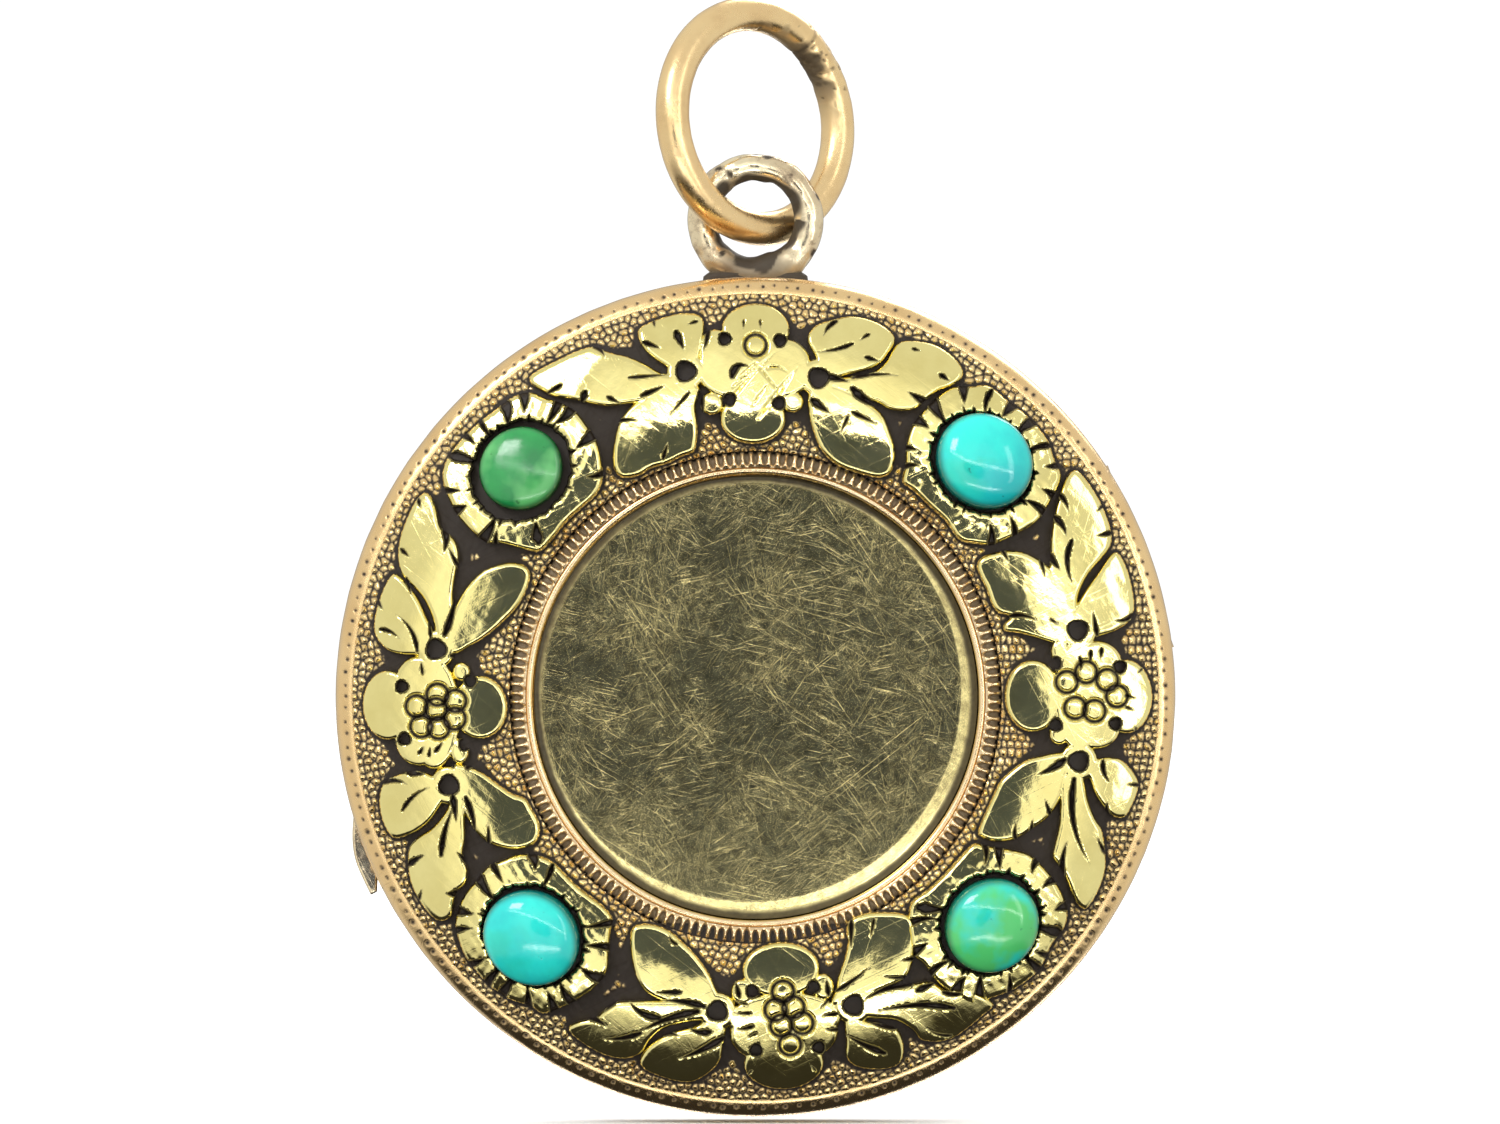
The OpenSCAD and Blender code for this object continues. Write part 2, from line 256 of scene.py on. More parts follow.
def outline_edges(triangles):
    """The directed edges that only one triangle has."""
    edges = np.concatenate([triangles[:, [0, 1]], triangles[:, [1, 2]], triangles[:, [2, 0]]])
    code = edges[:, 0].astype(np.int64) * (triangles.max() + 1) + edges[:, 1]
    back = edges[:, 1].astype(np.int64) * (triangles.max() + 1) + edges[:, 0]
    return edges[~np.isin(code, back)]


def make_piece(name, vertices, faces, body, node, material, dirt_and_shade=None, sharp=40):
    """A piece that rides on a body and takes the place of a CAD node. The mark it carries, 0 to 1, is its
    dirt and painted shade.
    """
    mesh = bpy.data.meshes.new(name)
    mesh.from_pydata(vertices.tolist(), [], faces)
    if dirt_and_shade is not None:
        mark = mesh.attributes.new("dirt_and_shade", "FLOAT", "POINT")
        mark.data.foreach_set("value", dirt_and_shade.astype(np.float32))
    mesh.materials.append(material)
    mesh.update()
    mesh.shade_smooth()
    mesh.set_sharp_from_angle(angle=radians(sharp))
    piece = bpy.data.objects.new(name, mesh)
    bpy.context.collection.objects.link(piece)
    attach(piece, body)
    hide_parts(node)


def close_below(vertices, triangles, bottom):
    """Adds walls down to the bottom places of the outline and a floor, and returns all faces."""
    edges = outline_edges(triangles)
    ring = np.unique(edges)
    lower = np.full(len(vertices), -1)
    lower[ring] = len(vertices) + np.arange(len(ring))
    walls = np.column_stack((edges[:, 1], edges[:, 0], lower[edges[:, 0]], lower[edges[:, 1]]))
    everything = np.concatenate((vertices, bottom[ring]))
    mesh = bmesh.new()
    spots = {i: mesh.verts.new(everything[i]) for i in lower[ring]}
    rim = [mesh.edges.new((spots[lower[a]], spots[lower[b]])) for a, b in edges]
    number = {spot: i for i, spot in spots.items()}
    made = bmesh.ops.triangle_fill(mesh, use_beauty=False, use_dissolve=False, edges=rim)
    floor = []
    for face in made["geom"]:
        if isinstance(face, bmesh.types.BMFace):
            corners = [number[v] for v in face.verts]
            # seen from the face of the locket, the floor's corners run clockwise
            p = everything[corners]
            area = np.cross(p[1] - p[0], p[2] - p[0])[1]
            floor.append(corners if area > 0 else corners[::-1])
    mesh.free()
    return everything, triangles.tolist() + walls.tolist() + floor, ring


def revolve(profile, segments, push=None):
    """Turns a closed outline of (radius, height) round the middle. Points on the axis become one point."""
    profile = np.array(profile, dtype=float)
    angles = np.arange(segments) * 2 * pi / segments
    vertices, rows = [], []
    for r, h in profile:
        if r < 1e-6:
            rows.append(np.full(segments, len(vertices)))
            vertices.append((0.0, 0.0, h))
        else:
            rows.append(np.arange(segments) + len(vertices))
            vertices.extend(zip(r * np.cos(angles), r * np.sin(angles), np.full(segments, h)))
    vertices = np.array(vertices)
    if push is not None:
        vertices = push(vertices)
    faces = []
    nxt = np.roll(np.arange(segments), -1)
    for k in range(len(rows)):
        a, b = rows[k], rows[(k + 1) % len(rows)]
        if a[0] == a[1] and b[0] == b[1]:
            continue
        if a[0] == a[1]:
            faces += np.column_stack((a, b[nxt], b)).tolist()
        elif b[0] == b[1]:
            faces += np.column_stack((a, a[nxt], b)).tolist()
        else:
            faces += np.column_stack((a, a[nxt], b[nxt], b)).tolist()
    return world(vertices[:, :2], vertices[:, 2]), faces


def tube_faces(count, sides, closed=True):
    """Faces between rings of points. A tube that isn't closed gets two flat ends."""
    faces = []
    for i in range(count if closed else count - 1):
        j = (i + 1) % count
        for k in range(sides):
            m = (k + 1) % sides
            faces.append((i * sides + k, i * sides + m, j * sides + m, j * sides + k))
    if not closed:
        faces.append(tuple(range(sides))[::-1])
        faces.append(tuple((count - 1) * sides + k for k in range(sides)))
    return faces


def wire_loop(outward, loop_r, wire_r, turn):
    """A round of wire in the upright plane. wire_r is given for each place and each side, in mm."""
    across = outward[:, None, :] * (wire_r * np.cos(turn))[..., None]
    up = np.array([0, -1.0, 0]) * (wire_r * np.sin(turn))[..., None]
    vertices = ((outward * loop_r)[:, None, :] + across + up).reshape(-1, 3)
    return vertices, tube_faces(*wire_r.shape)


# ---- Materials ----

def add(tree, kind, inputs=None, **settings):
    node = tree.nodes.new(kind)
    for key, value in settings.items():
        setattr(node, key, value)
    for key, value in (inputs or {}).items():
        if isinstance(value, bpy.types.NodeSocket):
            tree.links.new(value, node.inputs[key])
        else:
            node.inputs[key].default_value = value
    return node


def new_material(name):
    """A new material, its node tree, its shader and the piece's own coordinates."""
    material = bpy.data.materials.new(name)
    material.use_nodes = True
    tree = material.node_tree
    place = add(tree, "ShaderNodeTexCoord").outputs["Object"]
    return material, tree, tree.nodes["Principled BSDF"], place


def set_bump(tree, shader, height, distance):
    """Fine relief. distance is what a height of 1 stands for, in mm."""
    bump = add(tree, "ShaderNodeBump", {"Strength": 1.0, "Distance": distance * MM, "Height": height})
    tree.links.new(bump.outputs[0], shader.inputs["Normal"])


def noise(tree, coordinates, scale, detail=3.0, roughness=0.5):
    node = add(tree, "ShaderNodeTexNoise",
               {"Vector": coordinates, "Scale": scale, "Detail": detail, "Roughness": roughness})
    return node.outputs["Fac"]


def remap(tree, value, low, high, to_low=0.0, to_high=1.0):
    node = add(tree, "ShaderNodeMapRange", {"Value": value, "From Min": low, "From Max": high,
                                            "To Min": to_low, "To Max": to_high})
    return node.outputs["Result"]


def blend_colors(tree, factor, first, second):
    node = add(tree, "ShaderNodeMix", data_type="RGBA")
    for socket, value in ((node.inputs[0], factor), (node.inputs[6], first), (node.inputs[7], second)):
        if isinstance(value, bpy.types.NodeSocket):
            tree.links.new(value, socket)
        else:
            socket.default_value = value
    return node.outputs[2]


def combine(tree, operation, first, second):
    node = add(tree, "ShaderNodeMath", {0: first, 1: second}, operation=operation)
    return node.outputs[0]


def scratch_lines(tree, coordinates, angle, length, width, low, high, offset):
    """Fine straight lines across the face, turned by an angle. length and width in mm."""
    turned = add(tree, "ShaderNodeVectorRotate",
                 {"Vector": coordinates, "Axis": (0, 1, 0), "Angle": radians(angle)},
                 rotation_type="AXIS_ANGLE")
    stretched = add(tree, "ShaderNodeMapping",
                    {"Vector": turned.outputs[0], "Location": (offset, offset * 2.3, offset * 1.7),
                     "Scale": (1 / (length * MM), 1 / (2 * MM), 1 / (width * MM))})
    lines = noise(tree, stretched.outputs[0], 1.0, detail=1.0)
    return remap(tree, lines, low, high)


def rgba(r, g, b):
    return (r, g, b, 1.0)


# dirt in cuts and hollows, and painted shade along the feet of the ornaments and in the corner round the
# plate
DIRT_AND_SHADE_COLOR = rgba(0.020, 0.012, 0.007)


def set_metal(tree, shader, color, gloss, dirt_and_shade_amount, dirt_and_shade_gloss):
    """Joins colour and roughness to the shader, and turns them to matt dark where the mark puts dirt and
    painted shade.
    """
    tree.links.new(blend_colors(tree, dirt_and_shade_amount, color, DIRT_AND_SHADE_COLOR), shader.inputs["Base Color"])
    gloss = combine(tree, "ADD", gloss, combine(tree, "MULTIPLY", dirt_and_shade_amount, dirt_and_shade_gloss))
    tree.links.new(gloss, shader.inputs["Roughness"])
    tree.links.new(remap(tree, dirt_and_shade_amount, 0, 1, 1.0, 0.25), shader.inputs["Metallic"])


# the mark of dirt and painted shade that each piece carries, 0 to 1
def read_dirt_and_shade(tree):
    return add(tree, "ShaderNodeAttribute", attribute_name="dirt_and_shade").outputs["Fac"]


def metal(name, light, deep, roughness, scratch=0.5, cloud_mm=1.4, grain=1.0, tarnish=0.0):
    """Worn gold: uneven tone, fine scratches, small grain, and dark dirt and painted shade where the
    piece's mark says so.
    """
    material, tree, shader, place = new_material(name)
    cloud = remap(tree, noise(tree, place, 1 / (cloud_mm * MM), 4.0, 0.6), 0.35, 0.7)
    color = blend_colors(tree, cloud, light, deep)
    lines = scratch_lines(tree, place, 25, 5.0, 0.07, 0.62, 0.72, 0.0)
    for step, angle in enumerate((-38, 72, 118)):
        more = scratch_lines(tree, place, angle, 3.5 + step, 0.06, 0.64, 0.74, 3.1 + step)
        lines = combine(tree, "MAXIMUM", lines, more)
    fine = noise(tree, place, 1 / (0.09 * MM), 2.0)
    blotch = remap(tree, noise(tree, place, 1 / (0.8 * MM), 5.0, 0.65), 0.3, 0.75)
    dirt_and_shade_amount = read_dirt_and_shade(tree)
    if tarnish:
        spots = remap(tree, noise(tree, place, 1 / (0.7 * MM), 6.0, 0.7), 0.52, 0.72, 0.0, tarnish)
        dirt_and_shade_amount = combine(tree, "MAXIMUM", dirt_and_shade_amount, spots)
    gloss = remap(tree, blotch, 0, 1, roughness * 0.75, roughness * 1.3)
    gloss = combine(tree, "ADD", gloss, combine(tree, "MULTIPLY", lines, 0.16 * scratch))
    set_metal(tree, shader, color, gloss, dirt_and_shade_amount, 0.45)
    height = combine(tree, "MULTIPLY", lines, -1.0 * scratch)
    height = combine(tree, "ADD", height, combine(tree, "MULTIPLY", fine, 0.9 * grain))
    height = combine(tree, "ADD", height, combine(tree, "MULTIPLY", blotch, 1.5 * grain))
    set_bump(tree, shader, height, 0.0022)
    return material


FIBRE_ANGLES = (12, 33, 41, 57, -12, -31, -56, 81, 103)   # of the plate's short soft scratches
SCRATCH_ANGLES = (9, 21, 38, -17, -33)                    # of its long ones


def plate_material(light, deep):
    """Mirror-polished gold gone dull: cloudy, lighter below, with hair-fine scratches in patches."""
    material, tree, shader, place = new_material("polished_gold")
    cloud = remap(tree, noise(tree, place, 1 / (1.3 * MM), 5.0, 0.65), 0.3, 0.7)
    rise = add(tree, "ShaderNodeSeparateXYZ", {"Vector": place}).outputs["Z"]
    above = remap(tree, rise, -5.5 * MM, -2.5 * MM, 0.0, 0.15)
    mottle = remap(tree, noise(tree, place, 1 / (0.35 * MM), 6.0, 0.85), 0.38, 0.62, 0.0, 0.75)
    tone = combine(tree, "ADD", above, combine(tree, "MULTIPLY", cloud, 0.2))
    color = blend_colors(tree, combine(tree, "ADD", tone, mottle), light, deep)
    lines = 0.0
    for step, angle in enumerate(FIBRE_ANGLES):
        line = scratch_lines(tree, place, angle, 1.1 + 0.25 * step, 0.022, 0.54, 0.78, 7.7 + step)
        patch = remap(tree, noise(tree, place, 1 / ((0.9 + 0.2 * step) * MM), 3.0), 0.3, 0.7, 0.3, 1.0)
        lines = combine(tree, "MAXIMUM", lines, combine(tree, "MULTIPLY", line, patch))
    for step, angle in enumerate(SCRATCH_ANGLES):
        line = scratch_lines(tree, place, angle, 4.0 + 0.9 * step, 0.016, 0.77, 0.84, 31.3 + step)
        lines = combine(tree, "MAXIMUM", lines, line)
    haze = remap(tree, rise, -5.8 * MM, -2.0 * MM, 0.045, 0.0)
    gloss = combine(tree, "ADD", remap(tree, cloud, 0, 1, 0.082, 0.110), haze)
    gloss = combine(tree, "ADD", gloss, combine(tree, "MULTIPLY", lines, 0.115))
    set_metal(tree, shader, color, gloss, read_dirt_and_shade(tree), 0.4)
    grain = noise(tree, place, 1 / (0.12 * MM), 2.0)
    height = combine(tree, "SUBTRACT", combine(tree, "MULTIPLY", grain, 0.25), lines)
    set_bump(tree, shader, height, 0.0014)
    return material


def stone_material(name, light, deep, spot, spot_from, spot_amount, edge, roughness):
    """Opaque polished stone, cloudy in colour, with patches, small pits and a darker edge, which is painted
    shade.
    """
    material, tree, shader, place = new_material(name)
    cloud = remap(tree, noise(tree, place, 1 / (2.2 * MM), 4.0, 0.6), 0.38, 0.66)
    color = blend_colors(tree, cloud, light, deep)
    patch = remap(tree, noise(tree, place, 1 / (1.7 * MM), 3.0), spot_from, spot_from + 0.13,
                  0.0, spot_amount)
    color = blend_colors(tree, patch, color, spot)
    pits = remap(tree, noise(tree, place, 1 / (0.28 * MM), 2.0), 0.71, 0.76)
    color = blend_colors(tree, combine(tree, "MULTIPLY", pits, 0.55), color, edge)
    # painted shade that darkens the stone towards its edge, from the piece's mark
    color = blend_colors(tree, read_dirt_and_shade(tree), color, edge)
    tree.links.new(color, shader.inputs["Base Color"])
    shader.inputs["IOR"].default_value = 1.62
    shader.inputs["Subsurface Weight"].default_value = 0.15
    shader.inputs["Subsurface Radius"].default_value = (0.2, 0.5, 0.45)
    shader.inputs["Subsurface Scale"].default_value = 0.0006
    grain = noise(tree, place, 1 / (0.12 * MM), 3.0)
    tree.links.new(remap(tree, grain, 0.3, 0.7, roughness * 0.7, roughness * 1.5),
                   shader.inputs["Roughness"])
    height = combine(tree, "ADD", combine(tree, "MULTIPLY", pits, -1.5), grain)
    set_bump(tree, shader, height, 0.0015)
    return material


def glass_material():
    """Clear glass, slightly smeared."""
    material, tree, shader, place = new_material("glass")
    smear = remap(tree, noise(tree, place, 1 / (2.5 * MM), 4.0, 0.6), 0.3, 0.8, 0.02, 0.12)
    tree.links.new(smear, shader.inputs["Roughness"])
    shader.inputs["Base Color"].default_value = rgba(0.97, 0.99, 0.98)
    shader.inputs["Transmission Weight"].default_value = 1.0
    shader.inputs["IOR"].default_value = 1.5
    wave = noise(tree, place, 1 / (4 * MM), 1.0)
    set_bump(tree, shader, wave, 0.004)
    # light for the card passes straight through
    ray = add(tree, "ShaderNodeLightPath").outputs
    passes = combine(tree, "MAXIMUM", ray["Is Shadow Ray"], ray["Is Diffuse Ray"])
    clear = add(tree, "ShaderNodeBsdfTransparent").outputs[0]
    both = add(tree, "ShaderNodeMixShader", {0: passes, 1: shader.outputs[0], 2: clear}).outputs[0]
    tree.links.new(both, tree.nodes["Material Output"].inputs["Surface"])
    return material


def card_material():
    """Aged laid card with a few brown spots."""
    material, tree, shader, place = new_material("card")
    age = remap(tree, noise(tree, place, 1 / (3.5 * MM), 5.0, 0.6), 0.35, 0.7)
    color = blend_colors(tree, age, rgba(0.78, 0.69, 0.52), rgba(0.62, 0.50, 0.33))
    fox = remap(tree, noise(tree, place, 1 / (0.6 * MM), 3.0), 0.66, 0.74, 0.0, 0.6)
    color = blend_colors(tree, fox, color, rgba(0.36, 0.22, 0.10))
    tree.links.new(color, shader.inputs["Base Color"])
    fibre = add(tree, "ShaderNodeMapping", {"Vector": place, "Scale": (1, 1, 5)})
    paper = noise(tree, fibre.outputs[0], 1 / (0.25 * MM), 5.0, 0.7)
    tree.links.new(remap(tree, paper, 0.3, 0.7, 0.75, 0.95), shader.inputs["Roughness"])
    set_bump(tree, shader, paper, 0.012)
    return material


ROSE_GOLD = metal("rose_gold", rgba(0.90, 0.65, 0.35), rgba(0.78, 0.53, 0.26), 0.22)
GROUND_GOLD = metal("ground_gold", rgba(1.0, 0.76, 0.36), rgba(0.93, 0.64, 0.28), 0.18)
RIM_GOLD = metal("rim_gold", rgba(0.93, 0.67, 0.34), rgba(0.84, 0.57, 0.27), 0.24, grain=0.8)
GREEN_GOLD = metal("green_gold", rgba(0.95, 0.84, 0.36), rgba(0.86, 0.74, 0.29), 0.09, scratch=0.3,
                   grain=0.8)
POLISHED_GOLD = plate_material(rgba(1.0, 0.85, 0.38), rgba(0.46, 0.38, 0.17))
MILGRAIN_GOLD = metal("milgrain_gold", rgba(1.0, 0.79, 0.49), rgba(0.93, 0.68, 0.39), 0.26, scratch=0.2)
PALE_GOLD = metal("pale_gold", rgba(0.97, 0.84, 0.58), rgba(0.68, 0.52, 0.33), 0.18, tarnish=0.9)
WIRE_GOLD = metal("wire_gold", rgba(0.94, 0.70, 0.37), rgba(0.86, 0.60, 0.30), 0.28, scratch=0.3,
                  tarnish=0.08)
CASE_GOLD = metal("case_gold", rgba(0.84, 0.61, 0.34), rgba(0.72, 0.50, 0.27), 0.17, scratch=0.7,
                  cloud_mm=4.0, grain=0.6)
# the colour before the roughness darkens the pits and is the painted shade at the stone's edge
TURQUOISE = stone_material("turquoise", rgba(0.022, 0.70, 0.61), rgba(0.010, 0.50, 0.50),
                           rgba(0.03, 0.47, 0.22), 0.56, 0.3, rgba(0.004, 0.10, 0.09), 0.11)
MIXED_TURQUOISE = stone_material("mixed_turquoise", rgba(0.03, 0.66, 0.50), rgba(0.02, 0.54, 0.44),
                                 rgba(0.09, 0.56, 0.12), 0.43, 0.9, rgba(0.006, 0.11, 0.07), 0.11)
GREEN_STONE = stone_material("green_stone", rgba(0.020, 0.30, 0.07), rgba(0.006, 0.17, 0.045),
                             rgba(0.13, 0.50, 0.15), 0.50, 0.8, rgba(0.003, 0.05, 0.015), 0.16)
GLASS = glass_material()
CARD = card_material()


# ---- Sprays: lobes and cuts in mm, u to the right and v outward, seen with the case's middle below ----

HOLE_R = 0.33
HOLE_COLLAR_R = 0.6     # metal round each leaf's hole


class Spray:
    """What makes one flower and its two leaves: outlines, holes, berries, tapered cuts and scratches."""

    def __init__(self, name, angle, lobes, petals, big_holes, small_holes, berries, cuts, scratches=()):
        self.name = name
        self.angle = angle
        self.loops = [smooth_loop(lobe) for lobe in lobes] + [ellipse_loop(*p) for p in petals]
        self.loops += [ellipse_loop(u, v, HOLE_COLLAR_R, HOLE_COLLAR_R) for u, v in big_holes]
        self.big_holes = big_holes
        self.small_holes = small_holes
        self.berries = berries
        self.cuts = cuts
        self.scratches = scratches

    def distance(self, local):
        return union_distance(local, self.loops)


SPRAY_RIGHT = Spray(
    "spray_right", 0.4,
    lobes=[
        [(-1.8, 10.3), (-1.85, 10.8), (-2.0, 11.2), (-2.3, 11.6), (-2.75, 11.72), (-3.4, 11.64),
         (-4.0, 11.46), (-4.38, 11.22), (-4.3, 10.98), (-3.8, 10.62), (-3.3, 10.25), (-2.9, 10.0),
         (-2.2, 9.6)],
        [(-2.2, 9.9), (-2.95, 9.96), (-3.4, 10.12), (-3.8, 10.36), (-4.2, 10.72), (-4.6, 11.0),
         (-5.05, 11.02), (-5.6, 10.85), (-6.2, 10.56), (-6.7, 10.22), (-6.95, 9.95), (-6.8, 9.7),
         (-6.4, 9.5), (-5.9, 9.34), (-5.3, 9.2), (-4.7, 9.12), (-4.2, 9.12), (-3.4, 9.0), (-2.6, 9.2)],
        [(-2.0, 9.9), (-3.0, 9.7), (-3.7, 9.3), (-4.1, 8.9), (-4.38, 8.4), (-4.48, 7.95), (-4.42, 7.4),
         (-4.27, 7.0), (-4.02, 6.84), (-3.7, 6.93), (-3.3, 7.12), (-2.8, 7.3), (-2.55, 7.5),
         (-2.42, 7.85), (-2.2, 7.66), (-1.98, 7.7), (-1.92, 8.1), (-1.78, 8.6), (-1.62, 9.1),
         (-1.5, 9.6)],
        [(1.7, 10.1), (1.95, 10.45), (1.92, 10.8), (1.95, 11.15), (2.1, 11.4), (2.35, 11.62),
         (2.68, 11.8), (3.0, 11.78), (3.4, 11.62), (3.75, 11.42), (3.82, 11.2), (3.72, 10.95),
         (3.4, 10.66), (3.0, 10.42), (2.6, 10.28), (2.2, 10.0)],
        [(2.0, 10.0), (2.7, 10.14), (3.3, 10.26), (3.8, 10.46), (4.2, 10.68), (4.8, 10.76),
         (5.3, 10.78), (5.8, 10.66), (6.3, 10.42), (6.62, 10.15), (6.5, 9.92), (6.2, 9.74),
         (5.75, 9.56), (5.35, 9.38), (5.0, 9.12), (4.6, 9.18), (4.0, 9.32), (3.4, 9.36), (2.5, 9.4)],
        [(1.8, 9.8), (2.5, 9.6), (3.1, 9.42), (3.5, 9.2), (3.85, 8.9), (4.12, 8.5), (4.38, 8.1),
         (4.5, 7.65), (4.48, 7.2), (4.3, 6.84), (4.05, 6.86), (3.6, 7.05), (3.05, 7.3), (2.62, 7.52),
         (2.35, 7.8), (2.12, 8.1), (1.95, 8.4), (1.85, 8.8), (1.78, 9.2)],
    ],
    petals=[(0.06, 11.42, 1.15, 0.84), (-0.95, 10.55, 0.72, 0.78), (0.98, 10.5, 0.7, 0.76),
            (0, 10.0, 1.75, 0.85), (-1.35, 9.4, 0.42, 0.3), (1.2, 9.35, 0.34, 0.32),
            (0.02, 8.55, 1.12, 0.88)],
    big_holes=[(-2.0, 9.95), (2.05, 9.95)],
    small_holes=[(-0.85, 11.25), (0.9, 11.1), (-0.98, 9.25), (0.92, 9.25)],
    berries=[(0.5, 10.45), (0.4, 9.85), (-0.45, 10.85), (-0.7, 10.2), (-0.4, 9.6), (0.05, 11.15)],
    cuts=[(-5.0, 11.05, -4.9, 10.55, 0.07, 0), (-5.85, 10.78, -5.65, 10.58, 0.05, 0),
          (-6.2, 9.4, -5.65, 9.7, 0.06, 0.1), (-5.5, 9.25, -4.9, 9.62, 0.08, 0.1),
          (-4.75, 9.78, -3.4, 9.82, 0.07, -0.12), (-4.35, 9.05, -3.85, 9.42, 0.09, 0),
          (-4.2, 8.82, -3.65, 8.95, 0.05, 0), (-2.5, 11.7, -2.3, 11.05, 0.06, 0.15),
          (-1.85, 10.55, -2.6, 10.42, 0.06, 0), (-4.55, 7.6, -4.1, 7.85, 0.05, 0),
          (-2.35, 9.1, -2.15, 9.4, 0.03, 0), (-2.45, 7.85, -2.3, 8.7, 0.06, 0.1),
          (-1.42, 10.68, -1.1, 10.65, 0.05, 0), (-1.35, 10.35, -0.95, 10.32, 0.05, 0),
          (-1.15, 10.0, -0.7, 10.0, 0.05, 0.1), (0.02, 11.42, 0.12, 11.75, 0.035, 0),
          (0.38, 11.42, 0.5, 11.7, 0.035, 0), (-0.8, 11.95, -0.65, 11.8, 0.03, 0),
          (1.2, 11.75, 0.95, 11.7, 0.03, 0), (2.8, 11.85, 2.78, 11.45, 0.05, 0),
          (2.05, 10.7, 2.75, 10.95, 0.06, -0.12), (3.9, 10.88, 3.3, 10.85, 0.09, 0.1),
          (2.6, 9.8, 5.2, 10.27, 0.075, -0.1), (5.7, 9.42, 4.5, 9.58, 0.08, 0.06),
          (2.0, 9.5, 2.45, 8.65, 0.09, 0.05), (3.7, 9.06, 3.2, 8.9, 0.05, 0),
          (4.28, 8.45, 3.8, 8.52, 0.05, 0), (4.45, 8.0, 3.9, 8.02, 0.05, 0.1),
          (4.9, 10.75, 4.4, 10.5, 0.05, 0)],
)

